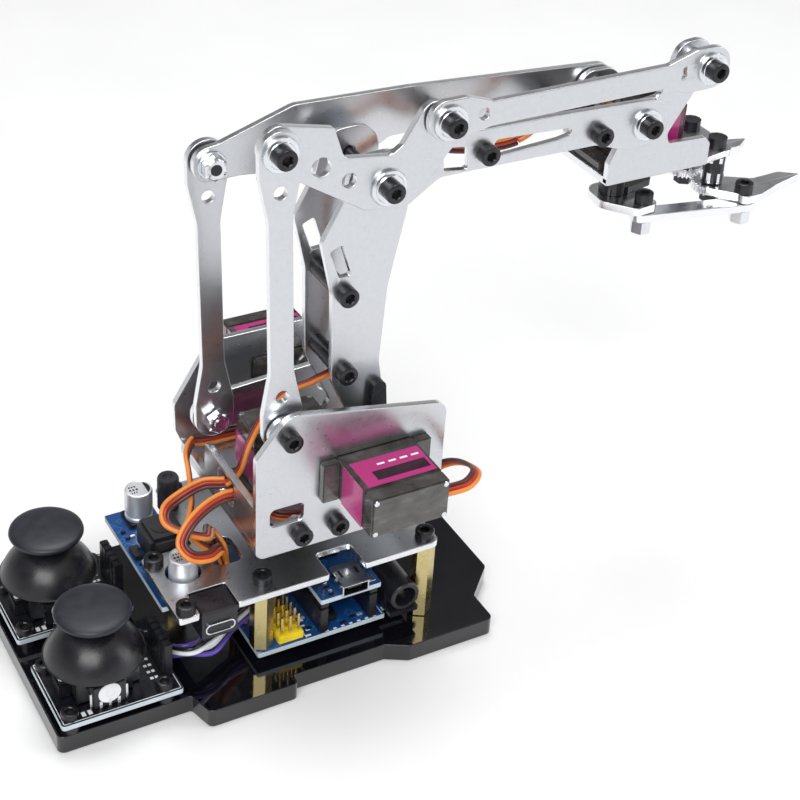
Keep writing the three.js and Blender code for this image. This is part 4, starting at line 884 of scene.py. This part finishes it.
def make_standoffs():
    spots = ((-22.8, -23.8, EXPANSION_TOP), (26.5, -25.6, BASE_TOP), (26.5, 22, BASE_TOP),
             (-29.6, 22, BASE_TOP))
    for i, (x, y, foot) in enumerate(spots, 1):
        piece = build(f"fine_standoff_{i}", "base", "brass", (BRASS,), lambda bm: turned(
            bm, [(0, 0), (2.5, 0), (2.85, 0.3, 6), (2.85, DECK_Z - foot - 0.3, 6), (2.5, DECK_Z - foot),
                 (0, DECK_Z - foot)], (x, y, foot), UP, 48))
        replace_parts(piece, f"standoff_{i}")


make_pivots()
make_spacers()
make_flat_screws()
make_standoffs()


# ---- Servos ------------------------------------------------------------------------------------------
SERVO_BODY = {"shoulder_servo": "turret", "elbow_servo": "turret", "yaw_servo": "turret",
              "gripper_servo": "bracket"}


def servo_piece(node, shaft, outward, long_way):
    """Case of three mouldings, tabs, hump, shaft, corner screws and a wrapped label.

    shaft is the shaft's place in the seat's plane, outward the axis out of the shaft end, and long_way
    the direction from the shaft to the middle of the case.
    """
    out = Vector(outward)
    along = Vector(long_way)
    side = out.cross(along)
    frame_of = Matrix((along, side, out)).transposed()

    def make(bm):
        def part(low, high, edge, material=0):
            block(bm, low, high, edge, material)
        part((-5.5, -6.1, -20.8), (17.3, 6.1, -15.9), 0.5)
        part((-5.35, -5.95, -16), (17.15, 5.95, -15.7), 0)
        part((-5.5, -6.1, -15.8), (17.3, 6.1, 0.0), 0.35)
        part((-5.35, -5.95, -0.1), (17.15, 5.95, 0.2), 0)
        part((-5.5, -6.1, 0.1), (17.3, 6.1, 3.5), 0.5)
        for low, high in ((-10.2, -5.4), (17.2, 22)):
            part((low, -6.1, -2.5), (high, 6.1, 0), 0.3)
        turned(bm, [(0, 3.4), (5.9, 3.4), (5.9, 4.9), (5.5, 5.4), (0, 5.4)], (0, 0, 0), UP, 40)
        turned(bm, [(0, 3.4), (2.6, 3.4), (2.6, 4.9), (2.4, 5.1), (0, 5.1)], (6.4, 0, 0), UP, 30)
        turned(bm, [(0, 5.3), (2, 5.3), (2, 8.3), (1.8, 8.5), (0, 8.5)], (0, 0, 0), UP, 25, 1)
        for x in (-4.3, 16.1):
            for y in (-4.9, 4.9):
                turned(bm, [(0, -20.95), (0.72, -20.9), (0.8, -20.6), (0, -20.5)], (x, y, 0), UP, 16, 2)
        for x in (-8, 19.8):
            turned(bm, [(0, 0), (1.7, 0), (1.6, 0.8), (1.2, 1.2), (0, 1.2)], (x, 0, 0), UP, 20, 3)
        for sign in (1, -1):
            face = 6.1 * sign
            low, high = sorted((face, face + 0.12 * sign))
            part((-4.6, low, -15.2), (15.6, high, -4.2), 0, 4)
            low, high = sorted((face + 0.12 * sign, face + 0.16 * sign))
            part((-3.8, low, -13.4), (11.8, high, -9.6), 0, 5)
            for k in range(4):
                part((-3.4 + 3.4 * k, low, -7.6), (-1.2 + 3.4 * k, high, -6.9), 0, 6)
        part((17.3, -6.1, -15.2), (17.42, 6.1, -4.2), 0, 4)

    bm = bmesh.new()
    make(bm)
    bmesh.ops.recalc_face_normals(bm, faces=bm.faces)
    mesh = bpy.data.meshes.new("fine_" + node)
    bm.to_mesh(mesh)
    bm.free()
    mesh.transform(Matrix.Translation(Vector(shaft) * MM) @ frame_of.to_4x4())
    smooth(mesh, 35)
    piece = finish_piece("fine_" + node, mesh, SERVO_BODY[node], "servo_case", SMOKED, GOLD, ZINC, OXIDE,
                         MAGENTA,
                         STRIPE, WHITE)
    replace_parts(piece, node)


def make_servos():
    sx, sz = SHOULDER
    servo_piece("shoulder_servo", (sx, Y_SIDE_NEAR, sz), (0, 1, 0), (-1, 0, 0))
    servo_piece("elbow_servo", (sx, Y_SIDE_FAR + PLATE, sz), (0, -1, 0), (-1, 0, 0))
    servo_piece("yaw_servo", (0, 0, FLOOR_Z + PLATE), (0, 0, -1), (-1, 0, 0))
    servo_piece("gripper_servo", (*GRIP_AXIS, BRACKET_FLOOR_Z + PLATE), (0, 0, -1), (1, 0, 0))
make_servos()

# ---- Boards and what stands on them ---------------------------------------------------------------------
PITCH = 2.54


def pin_row(bm, x, y, foot, top, count, along, material=1):
    for k in range(count):
        px, py = (x + k * PITCH, y) if along == "x" else (x, y + k * PITCH)
        block(bm, (px - 0.32, py - 0.32, foot), (px + 0.32, py + 0.32, top), 0.08, material)


def make_expansion():
    outline = [(-25.2, -27.3, 0.6), (14.2, -27.3, 0.3), (14.2, -24.4, 0.3), (22.6, -24.4, 0.6),
               (22.6, 19, 0.6), (-25.2, 19, 0.6)]
    holes = [ring(-22.8, -23.8, 1.5)]
    mesh = lying("fine_expansion_board", arc_points(outline), holes, 8.4, 1.6, 0.08)
    stand_in("expansion_board", mesh, "base", "blue_board", BLUE_BOARD, BOARD_EDGE)

    def header(bm):
        for row in range(5):
            y = -26.6 + row * PITCH
            block(bm, (-18.6, y + 0.04, EXPANSION_TOP), (-18.6 + 3 * PITCH, y + PITCH - 0.04,
                                                         EXPANSION_TOP + 2.5), 0.28, 0)
            pin_row(bm, -18.6 + PITCH / 2, y + PITCH / 2, EXPANSION_TOP + 0.1, EXPANSION_TOP + 8.5, 3, "x")
    piece = build("fine_servo_header", "base", "yellow_plastic", (YELLOW, GOLD), header)
    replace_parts(piece, "servo_header")

    def sockets(bm):
        for x in (-6.2, 9.1):
            block(bm, (x, -27, EXPANSION_TOP), (x + 2.5, 15.8, EXPANSION_TOP + 8.4), 0.2, 0)
            pin_row(bm, x + 1.25, -25.6, EXPANSION_TOP + 8, CONTROLLER_TOP + 0.9, 16, "y")
            block(bm, (x, -27, CONTROLLER_TOP - 4.2), (x + 2.5, 15.8, CONTROLLER_TOP - 1.7), 0.2, 0)
        block(bm, (-2.4, -24, EXPANSION_TOP), (0.6, -13, EXPANSION_TOP + 2.4), 0.3, 0)
        block(bm, (2.4, -12, EXPANSION_TOP), (6.4, -4, EXPANSION_TOP + 1.6), 0.2, 0)
    build("controller_sockets", "base", "black_plastic", (SATIN_BLACK, GOLD), sockets)

    def jack(bm):
        block(bm, (14.5, -26.4, EXPANSION_TOP), (23.5, -17, EXPANSION_TOP + 6), 0.4)
        turned(bm, [(4.5, 0), (4.5, 12.6), (4.2, 12.9), (3.25, 12.9), (3.1, 12.6), (3.1, 4), (0, 4), (0, 0)],
               (19, -17.1, EXPANSION_TOP + 6.4), NEARWARD, 40)
        block(bm, (14.5, -30, EXPANSION_TOP), (23.5, -26.4, EXPANSION_TOP + 2), 0.3)
        rod_bar(bm, (19, -21, EXPANSION_TOP + 6.4), NEARWARD, 0.85, 6.5)
    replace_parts(build("fine_power_jack", "base", "black_plastic", (SATIN_BLACK,), jack), "power_jack")

    def prints(bm):
        top = EXPANSION_TOP + 0.03
        for k in range(6):
            block(bm, (-10.2 + 1.0 * (k % 2), -26.6 + 2.1 * k, top - 0.04),
                  (-8.6 + 0.6 * (k % 2), -25.9 + 2.1 * k, top), 0)
        for x in (-10.4, 13.4):
            block(bm, (x, -26.9, top - 0.04), (x + 0.25, -14, top), 0)
        for k in range(7):
            block(bm, (-4.4 + 2.5 * k, -27.1, top - 0.04), (-3.4 + 2.5 * k, -26.5, top), 0)
    build("expansion_board_print", "base", "blue_board", (WHITE,), prints)

    def parts(bm):
        for i, (x, y) in enumerate(((-8.9, -24.2), (-8.9, -19.6), (4.4, -25), (6.6, -25), (0.8, -26.2),
                                    (11.9, -20))):
            block(bm, (x, y, EXPANSION_TOP), (x + 1.6, y + 0.85, EXPANSION_TOP + 0.5), 0.08, i % 2)
    build("expansion_board_parts", "base", "black_plastic", (SATIN_BLACK, CAN), parts)


def make_controller():
    outer = [(-6.8, -28.2, 0.5), (12, -28.2, 0.5), (12, 17, 0.5), (-6.8, 17, 0.5)]
    mesh = lying("fine_controller_board", arc_points(outer), [], 21.4, 1.6, 0.08)
    stand_in("controller_board", mesh, "base", "blue_board", BLUE_BOARD, BOARD_EDGE)

    def usb(bm):
        """Shell of a small USB socket: four walls, lips, and a tongue inside."""
        low, high = CONTROLLER_TOP, CONTROLLER_TOP + 4
        block(bm, (-0.9, -29.5, low), (7.3, -20.5, low + 0.4), 0.12)
        block(bm, (-0.9, -29.5, high - 0.4), (7.3, -20.5, high), 0.12)
        block(bm, (-0.9, -29.5, low + 0.3), (-0.5, -20.5, high - 0.3), 0.1)
        block(bm, (6.9, -29.5, low + 0.3), (7.3, -20.5, high - 0.3), 0.1)
        block(bm, (-0.6, -21, low + 0.3), (7, -20.6, high - 0.3), 0.05)
        block(bm, (-0.9, -30.1, high - 0.35), (7.3, -29.4, high + 0.1), 0.12)
        block(bm, (1, -28.6, low + 1.6), (5.4, -21, low + 2.4), 0.1, 1)
        for x in (0.3, 5.3):
            block(bm, (x, -26, high - 0.02), (x + 0.8, -23, high + 0.05), 0.05, 1)
    build("controller_usb_socket", "base", "zinc_steel", (ZINC, SATIN_BLACK), usb)

    def chips(bm):
        block(bm, (-0.6, -12.5, CONTROLLER_TOP), (6.2, -5.7, CONTROLLER_TOP + 0.9), 0.1)
        for k in range(7):
            y = -12 + 0.95 * k
            block(bm, (-1.4, y, CONTROLLER_TOP), (-0.6, y + 0.35, CONTROLLER_TOP + 0.35), 0.03, 1)
            block(bm, (6.2, y, CONTROLLER_TOP), (7, y + 0.35, CONTROLLER_TOP + 0.35), 0.03, 1)
        for k in range(5):
            block(bm, (-3.6, -27.2 + 1.6 * k, CONTROLLER_TOP), (-2.2, -26.4 + 1.6 * k,
                CONTROLLER_TOP + 0.45), 0.06, k % 2)
        block(bm, (8.4, -27.4, CONTROLLER_TOP), (10.6, -25.4, CONTROLLER_TOP + 1), 0.1, 1)
    build("controller_chips", "base", "black_plastic", (SATIN_BLACK, ZINC), chips)


def make_power():
    outer = [(-49.2, -17.5, 0.5), (-35, -17.5, 0.5), (-35, 26, 0.5), (-49.2, 26, 0.5)]
    mesh = lying("fine_power_board", arc_points(outer), [], 26.1, 1.6, 0.08)
    stand_in("power_board", mesh, "base", "blue_board", BLUE_BOARD, BOARD_EDGE)

    def can(x, y):
        def make(bm):
            block(bm, (x - 4.3, y - 4.3, POWER_TOP), (x + 4.3, y + 4.3, POWER_TOP + 1.1), 0.7, 1)
            turned(bm, [(0, 0.9), (3.7, 0.9), (3.98, 1.3), (3.98, 2.1), (3.72, 2.5), (3.72, 2.9), (4, 3.3),
                        (4, 9.9),
                        (3.8, 10.4), (3.5, 10.5), (3.4, 10.38), (0, 10.38)], (x, y, POWER_TOP), UP, 48)
            turns = [math.radians(a) for a in range(-52, 53, 8)]
            sector = [(3.3 * math.cos(a), 3.3 * math.sin(a)) for a in turns]
            verts = [bm.verts.new(Vector((x + u, y + v, POWER_TOP + 10.46)) * MM) for u, v in sector]
            bm.faces.new(verts).material_index = 1
            for k, (u, v, w) in enumerate(((-2.5, 1.0, 2.4), (-2.7, -0.3, 2.9), (-2.4, -1.6, 2.0))):
                for part in range(3):
                    start = x + u + part * w / 3
                    block(bm, (start, y + v, POWER_TOP + 10.37), (start + w / 3 - 0.35, y + v + 0.7,
                        POWER_TOP + 10.42), 0, 1)
        return make
    for name, x, y in (("near", -40.6, -11.4), ("far", -40.6, 21)):
        piece = build("fine_capacitor_" + name, "base", "capacitor_can", (CAN, SATIN_BLACK), can(x, y))
        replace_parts(piece, "capacitor_" + name)

    def coil(bm):
        block(bm, (-45.4, -1, POWER_TOP), (-34.6, 11.4, POWER_TOP + 8.6), 1.2)
        turned(bm, [(0, 0), (3.2, 0), (3.2, 0.3), (0, 0.3)], (-40, 5.2, POWER_TOP + 8.5), UP, 36)
    build("power_inductor", "base", "black_plastic", (MATT_BLACK,), coil)

    def drum(bm):
        turned(bm, [(0, 0), (3.1, 0), (3.1, 9.6), (2.8, 10.2), (1.4, 10.2), (1.2, 9.8), (0, 9.8)],
               (-33.2, 17, DECK_TOP + 0.1),
               UP, 36)
    build("deck_rubber_post", "base", "black_plastic", (MATT_BLACK,), drum)

    def small(bm):
        for i, (x, y) in enumerate(((-47.6, 13), (-46, 13.4), (-47.8, 16), (-47.4, -5), (-38, 14.2),
                                    (-37, -4.4), (-48.2, 1))):
            block(bm, (x, y, POWER_TOP), (x + 1.3, y + 0.8, POWER_TOP + 0.6), 0.08, i % 2)
        block(bm, (-48.6, 3.4, POWER_TOP), (-46, 8.6, POWER_TOP + 1.6), 0.15, 0)
    build("power_board_parts", "base", "black_plastic", (SATIN_BLACK, CAN), small)

    def usb_c(bm):
        """Tongue inside the metal mouth."""
        block(bm, (-40.4, -28.8, 26.55), (-35, -23, 27.1), 0.1, 1)
    build("usb_tongue", "base", "zinc_steel", (ZINC, SATIN_BLACK), usb_c)
    mouth = [(-42, 25.1, 1.6), (-33.4, 25.1, 1.6), (-33.4, 28.5, 1.6), (-42, 28.5, 1.6)]
    throat = [(-41.6, 25.5, 1.25), (-33.8, 25.5, 1.25), (-33.8, 28.1, 1.25), (-41.6, 28.1, 1.25)]
    mesh = standing("usb_mouth", arc_points(mouth), [arc_points(throat)], -30.1, 2.4, 0.05)
    finish_piece("usb_mouth", mesh, "base", "zinc_steel", ZINC)
    # Painted shade: a thin black sheet just inside the mouth stands for the dark inside of the socket, and it
    # hides the tongue behind it.
    mesh = standing("usb_mouth_painted_shade", arc_points(throat), [], -29.75, 0.1, 0.02)
    finish_piece("usb_mouth_painted_shade", mesh, "base", "black_plastic", SATIN_BLACK)
    module = [(-42.9, 23.4, 0.4), (-32.5, 23.4, 0.4), (-32.5, 32.2, 0.7), (-42.9, 32.2, 0.7)]
    mesh = standing("fine_usb_module", arc_points(module), [arc_points(throat)], -29.6, 9, 0.3)
    stand_in("usb_module", mesh, "base", "black_plastic", SATIN_BLACK)


make_expansion()
make_controller()
make_power()


# ---- Joysticks ---------------------------------------------------------------------------------------------
GIMBAL_Z = 16.4
DOME_R = 13.9
STICKS = (("near", -68.6, -17.4, -30.4), ("far", -68.6, 18.8, 5.8))


def dome_profile():
    inner = DOME_R - 1.3
    rim = 0.29
    angles = [rim + (math.pi / 2 - rim) * k / 14 for k in range(15)]
    outer = [(DOME_R * math.cos(a), DOME_R * math.sin(a)) for a in angles if math.cos(a) > 0.2]
    under = [(inner * math.cos(a), inner * math.sin(a)) for a in reversed(angles) if math.cos(a) > 0.1]
    bead = [(inner + 0.5, outer[0][1] - 0.35), (DOME_R - 0.2, outer[0][1] - 0.2)]
    return [*bead, *outer, (3.9, 13.75), (3.7, 14.6), (2.5, 14.6), (2.5, 8), *under, bead[0]]


def cap_profile():
    top = 19.4
    return [(0, 7.6), (2.2, 7.6), (2.2, DOME_R + 1.4), (4.2, DOME_R + 1.5), (4.7, top - 4.0),
            (6.2, top - 3.4), (8.8, top - 3.0),
            (9.9, top - 2.5), (10.3, top - 1.8), (10.15, top - 1.2), (9.5, top - 0.75), (8.0,
                top - 0.35), (5.5, top - 0.1),
            (2.5, top), (0, top)]


def make_joystick(side, x, y, front):
    body = "base"
    corners = [(-82.4, front, 1), (-48.4, front, 1), (-48.4, front + 26, 1), (-82.4, front + 26, 1)]
    spots = [(px, py) for px in (-79.4, -52.9) for py in (front + 3, front + 23)]
    mesh = lying("fine_joystick_board_" + side, arc_points(corners), [ring(px, py, 1.6, 24) for px,
        py in spots], 8, 1.6, 0.08)
    stand_in("joystick_board_" + side, mesh, body, "black_board", BLACK_BOARD, BOARD_EDGE)
    for i, (px, py) in enumerate(spots, 1):
        screw_part(f"joystick_{side}_screw_{i}", body,
              lambda bm: (cap_head(bm, (px, py, JOYSTICK_TOP), UP, 2.4, 2.2), rod_bar(bm, (px, py, BASE_TOP),
                  UP, 1.4, 4)))
        build(f"joystick_{side}_stand_{i}", body, "black_plastic", (SATIN_BLACK,), lambda bm: turned(
            bm, [(1.5, 0), (2.6, 0), (2.6, 2.35), (1.5, 2.35), (1.5, 0)], (px, py, BASE_TOP + 0.02), UP, 24))

    def housing(bm):
        """Open box of four walls with a floor, a potentiometer on two sides and a switch on a third."""
        foot = JOYSTICK_TOP
        block(bm, (x - 7.8, y - 7.8, foot), (x + 7.8, y + 7.8, foot + 1.5), 0.3)
        for low, high in (((-7.8, -7.8), (7.8, -6.5)), ((-7.8, 6.5), (7.8, 7.8)),
                          ((-7.8, -6.5), (-6.5, 6.5)), ((6.5, -6.5), (7.8, 6.5))):
            block(bm, (x + low[0], y + low[1], foot + 0.2), (x + high[0], y + high[1], GIMBAL_Z + 5), 0.25)
        for turn in (0, 1):
            def at(u, v):
                return (x + u, y + v) if turn == 0 else (x - v, y + u)
            def piece(low, high, edge, material):
                a, b = at(*low[:2]), at(*high[:2])
                block(bm, (min(a[0], b[0]), min(a[1], b[1]), low[2]), (max(a[0], b[0]), max(a[1], b[1]),
                    high[2]), edge, material)
            piece((-5, -10.4, foot), (5, -7.9, GIMBAL_Z + 1.4), 0.3, 0)
            piece((-4.4, -10.9, foot + 0.6), (4.4, -10.3, GIMBAL_Z + 0.8), 0.2, 1)
            px, py = at(0, -10.85)
            axis = (0, -1, 0) if turn == 0 else (1, 0, 0)
            turned(bm, [(0, 0), (3.1, 0), (3.1, 0.35), (1.2, 0.4), (1.2, 0.15), (0, 0.15)],
                   (px, py, GIMBAL_Z - 1.8), axis, 32, 2)
            for u in (-5.3, 4.7):
                piece((u, -10.6, foot + 0.6), (u + 0.6, -7.8, GIMBAL_Z - 1), 0.1, 3)
            for u in (-2.5, 0, 2.5):
                piece((u - 0.4, -11.3, foot), (u + 0.4, -10.8, foot + 3), 0.08, 3)
        block(bm, (x - 11, y - 3, foot), (x - 7.7, y + 3, foot + 4.5), 0.3)
        block(bm, (x - 10.4, y - 1.4, foot + 4.4), (x - 8.4, y + 1.4, foot + 5.4), 0.3, 2)
    piece = build("fine_joystick_housing_" + side, body, "black_plastic", (SATIN_BLACK, MATT_BLACK, WHITE,
        ZINC), housing)
    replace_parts(piece, "joystick_housing_" + side)
    at = (x, y, GIMBAL_Z)
    dome = build("fine_joystick_dome_" + side, f"joystick_{side}_dome", "black_plastic", (SATIN_BLACK,),
                 lambda bm: (turned(bm, dome_profile(), at, UP, 64), rod_bar(bm, (x, y, GIMBAL_Z - 1.2), UP,
                     1.6, 9.2)), 40)
    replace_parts(dome, "joystick_dome_" + side)
    cap = build("fine_joystick_cap_" + side, f"joystick_{side}_cap", "black_plastic", (RUBBER,),
                lambda bm: turned(bm, cap_profile(), at, UP, 64), 50)
    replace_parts(cap, "joystick_cap_" + side)

    def header(bm):
        block(bm, (-51.6, front + 6, JOYSTICK_TOP), (-49.1, front + 6 + 5 * PITCH, JOYSTICK_TOP + 2.5), 0.25)
        pin_row(bm, -50.35, front + 6 + PITCH / 2, JOYSTICK_TOP + 1, JOYSTICK_TOP + 3.6, 5, "y")
        for k in range(5):
            py = front + 6 + PITCH * (k + 0.5)
            block(bm, (-51.55, py - 1.2, JOYSTICK_TOP + 2.5), (-49.15, py + 1.2, JOYSTICK_TOP + 11), 0.25)
    build(f"joystick_{side}_plugs", body, "black_plastic", (SATIN_BLACK, GOLD), header)

    def prints(bm):
        top = JOYSTICK_TOP + 0.03
        low = top - 0.04
        inset = 0.55
        left, right, far = -82.4 + inset, -48.4 - inset, front + 26 - inset
        near = front + inset
        for a, b in (((left, near), (right, near + 0.22)), ((left, far - 0.22), (right, far)),
                     ((left, near), (left + 0.22, far)), ((right - 0.22, near), (right, far))):
            block(bm, (*a, low), (*b, top), 0)
        for k in range(5):
            py = front + 6 + PITCH * (k + 0.5)
            for part in range(2):
                block(bm, (-55.2 + 1.3 * part, py - 0.45, low), (-54.3 + 1.3 * part, py + 0.45, top), 0)
        for px in (-76.4, -74.6):
            block(bm, (px, front + 1.5, low), (px + 1.1, front + 3.2, top), 0)
    build(f"joystick_{side}_print", body, "black_board", (WHITE,), prints)


for stick in STICKS:
    make_joystick(*stick)


def make_gripper_hardware():
    """Cap screws above the crank, bar and jaw joints, with long nuts below, and sleeves on the jaw posts."""
    bodies = ("crank", "jaw_near")
    for i, ((x, y), body) in enumerate(zip(LINK_SCREWS, bodies), 1):
        screw_part(f"link_screw_{i}", body,
              lambda bm: cap_head(bm, (x, y, JAW_Z + JAW_T + 0.1), UP, 2.6, 3.0))
        steel_part(f"link_nut_{i}", body,
              lambda bm: hex_nut(bm, (x, y, BAR_Z - 0.1), (0, 0, -1), 2.6, 4.2))
    for i, jaw_y in enumerate(JAW_Y, 1):
        steel_part(f"jaw_post_nuts_{i}", "bracket", lambda bm: (
            turned(bm, [(2.3, 0), (2.85, 0.2, 6), (2.85, 1.9, 6), (2.3, 2.1)],
                   (JAW_PIVOT_X, jaw_y, BRACKET_FLOOR_Z - 2.4), UP, 48),
            turned(bm, [(2.3, 0), (2.85, 0.2, 6), (2.85, 3.4, 6), (2.3, 3.6)],
                   (JAW_PIVOT_X, jaw_y, JAW_Z + JAW_T + 0.3), UP, 48)))


def make_jumper_wires():
    """Short coloured wires that run under the deck from the joystick plugs to the header."""
    for k in range(7):
        y = -16.5 + 1.5 * (k % 4)
        z = 12.2 + 2.3 * (k // 4) + 0.7 * (k % 2)
        route = [(-49, y - 1, z - 2), (-44, y - 6 - 0.6 * k, z + 1.2), (-37, y - 7.5 + 0.4 * k, z + 0.4),
                 (-29, y - 2, z + 0.8),
                 (-20.6, y + 1.4, z + 2)]
        line = curve_points([tuple(v * MM for v in point) for point in route])
        bm = bmesh.new()
        wire(bm, frames_along(line, Vector((0, 0, 1))), 0, JUMPER_R, 0)
        material = (VIOLET, WHITE, SATIN_BLACK)[k % 3]
        piece = finish_wires(f"jumper_{k + 1}", bm, "base", material)

# ---- Servo leads -------------------------------------------------------------------------------------------
WIRE_R = 0.00062
WIRE_PITCH = 1.16  # millimetres from one wire of a lead to the next
STEPS = 8  # points of a route drawn between two that are given
JUMPER_R = 0.00065


def curve_points(points):
    """Smooth line through the points, in metres."""
    spots = [Vector(p) for p in points]
    padded = [spots[0] * 2 - spots[1], *spots, spots[-1] * 2 - spots[-2]]
    line = []
    for a, b, c, d in zip(padded, padded[1:], padded[2:], padded[3:]):
        for k in range(STEPS):
            t = k / STEPS
            square = 2 * a - 5 * b + 4 * c - d
            cube = 3 * b - a - 3 * c + d
            line.append(0.5 * (2 * b + (c - a) * t + square * t * t + cube * t ** 3))
    line.append(spots[-1])
    return line


def frames_along(line, side):
    """Place and two sideways directions at each point of a line, without twist."""
    frames = []
    for i, spot in enumerate(line):
        ahead = (line[min(i + 1, len(line) - 1)] - line[max(i - 1, 0)]).normalized()
        side = (side - ahead * side.dot(ahead)).normalized()
        frames.append((spot, side.copy(), ahead.cross(side)))
    return frames


def wire(bm, frames, offset, radius, material, sides=12):
    """Round wire that runs at an offset to one side of the line."""
    turns = [2 * math.pi * k / sides for k in range(sides)]
    loops = []
    for spot, u, v in frames:
        centre = spot + u * (offset * MM)
        loops.append([bm.verts.new(centre + (u * math.cos(a) + v * math.sin(a)) * radius) for a in turns])
    for low, high in zip(loops, loops[1:]):
        for k in range(sides):
            quad = [low[k], low[(k + 1) % sides], high[(k + 1) % sides], high[k]]
            bm.faces.new(quad).material_index = material
    for loop in (loops[0], loops[-1]):
        bm.faces.new(loop).material_index = material


def finish_wires(name, bm, body, *materials):
    bmesh.ops.recalc_face_normals(bm, faces=bm.faces)
    mesh = bpy.data.meshes.new(name)
    bm.to_mesh(mesh)
    bm.free()
    smooth(mesh, 60)
    return finish_piece(name, mesh, body, "lead_insulation", *materials)


def ribbon(name, line, body, side):
    """Flat lead of three insulated wires side by side along a line."""
    bm = bmesh.new()
    frames = frames_along(line, side)
    for number, offset in enumerate((-WIRE_PITCH, 0, WIRE_PITCH)):
        wire(bm, frames, offset, WIRE_R, number)
    return finish_wires(name, bm, body, ORANGE, RED, BROWN)


def lead_part(name, node, points, first, last, bodies, side):
    """One stretch of a lead that rides on its body; where two bodies are given it rides on neither, and its
    transform is baked into the mesh.
    """
    line = curve_points(points)[first * STEPS:last * STEPS + 1]
    piece = ribbon(name, line, bodies[0] if len(bodies) == 1 else None, side)
    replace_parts(piece, node)
    if len(bodies) == 2:
        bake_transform(piece)
    return piece


def make_leads():
    flat = Vector((1, 0, 0))
    tall = Vector((0, 1, 0))
    lead_part("lead_shoulder_loop", "lead_shoulder", SHOULDER_LEAD, 0, 10, ("base", "turret"), tall)
    lead_part("lead_shoulder_inner", "lead_shoulder", SHOULDER_LEAD, 10, 20, ("turret",), Vector((0, 0, 1)))
    lead_part("lead_elbow_loop", "lead_elbow", ELBOW_LEAD, 0, 9, ("base", "turret"), tall)
    lead_part("lead_elbow_inner", "lead_elbow", ELBOW_LEAD, 9, len(ELBOW_LEAD) - 1, ("turret",),
              Vector((0, 0, 1)))
    lead_part("lead_gripper_loop", "lead_gripper", GRIPPER_LEAD, 0, 11, ("base", "turret"), tall)
    lead_part("lead_gripper_rise", "lead_gripper", GRIPPER_LEAD, 11, 17, ("turret", "lower_arm"), tall)
    lead_part("lead_gripper_arm", "lead_gripper", GRIPPER_LEAD, 17, 21, ("lower_arm",), tall)
    lead_part("lead_gripper_forearm", "lead_gripper", GRIPPER_LEAD, 21, 27, ("forearm",), flat)
    lead_part("lead_gripper_tail", "lead_gripper", GRIPPER_LEAD, 27, 32, ("forearm", "bracket"), tall)


make_leads()
make_gripper_hardware()
make_jumper_wires()


def paint_plain_pieces():
    """Materials for the CAD pieces that are shown as they are."""
    finishes = {"aluminium_sheet": SHEET, "black_plastic": SATIN_BLACK, "black_oxide_screw": OXIDE,
                "zinc_steel": ZINC}
    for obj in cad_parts.values():
        if not obj.hide_render:
            finish = finishes[obj.data.materials[0].name.split(".")[0]]
            obj.data.materials.clear()
            obj.data.materials.append(finish)


paint_plain_pieces()

# ---- Stage -----------------------------------------------------------------------------------------
def area_light(name, at, target, size, energy, colour=(1, 1, 1)):
    light = bpy.data.lights.new(name, "AREA")
    light.shape = "RECTANGLE"
    light.size, light.size_y = size
    light.energy = energy
    light.color = colour
    obj = bpy.data.objects.new(name, light)
    obj.location = at
    obj.rotation_euler = (Vector(target) - Vector(at)).to_track_quat("-Z", "Y").to_euler()
    bpy.context.scene.collection.objects.link(obj)


def make_stage():
    bm = bmesh.new()
    bmesh.ops.create_grid(bm, x_segments=1, y_segments=1, size=6)
    mesh = bpy.data.meshes.new("floor")
    bm.to_mesh(mesh)
    bm.free()
    floor = bpy.data.objects.new("floor", mesh)
    floor.location = (0, 0, -0.0002)
    mesh.materials.append(surface("pale_floor", (0.86, 0.86, 0.865), 0.01, 0.6, 0.03, 0.0, 200, 0.0))
    bpy.context.scene.collection.objects.link(floor)
    world = bpy.data.worlds.new("studio")
    bpy.context.scene.world = world
    world.use_nodes = True
    tree = world.node_tree
    coords = tree.nodes.new("ShaderNodeTexCoord")
    split = tree.nodes.new("ShaderNodeSeparateXYZ")
    tree.links.new(coords.outputs["Generated"], split.inputs[0])
    sky = ramp(tree, split.outputs["Z"], (0.0, grey(0.80)), (0.30, grey(0.55)), (0.46, grey(0.13)),
               (0.64, grey(0.16)),
               (0.8, grey(0.75)), (1.0, grey(0.95)))
    background = tree.nodes["Background"]
    tree.links.new(sky, background.inputs["Color"])
    background.inputs["Strength"].default_value = 0.9
    area_light("key", (-0.55, -0.75, 0.95), (0.02, 0, 0.08), (0.9, 0.6), 11)
    area_light("fill", (0.95, -0.55, 0.45), (0.02, 0, 0.08), (0.5, 0.8), 3, (0.96, 0.98, 1))
    area_light("top", (0.25, 0.35, 1.4), (0.02, 0, 0.08), (0.8, 0.6), 9)


make_stage()

scene = bpy.context.scene
scene.view_settings.view_transform = "Standard"
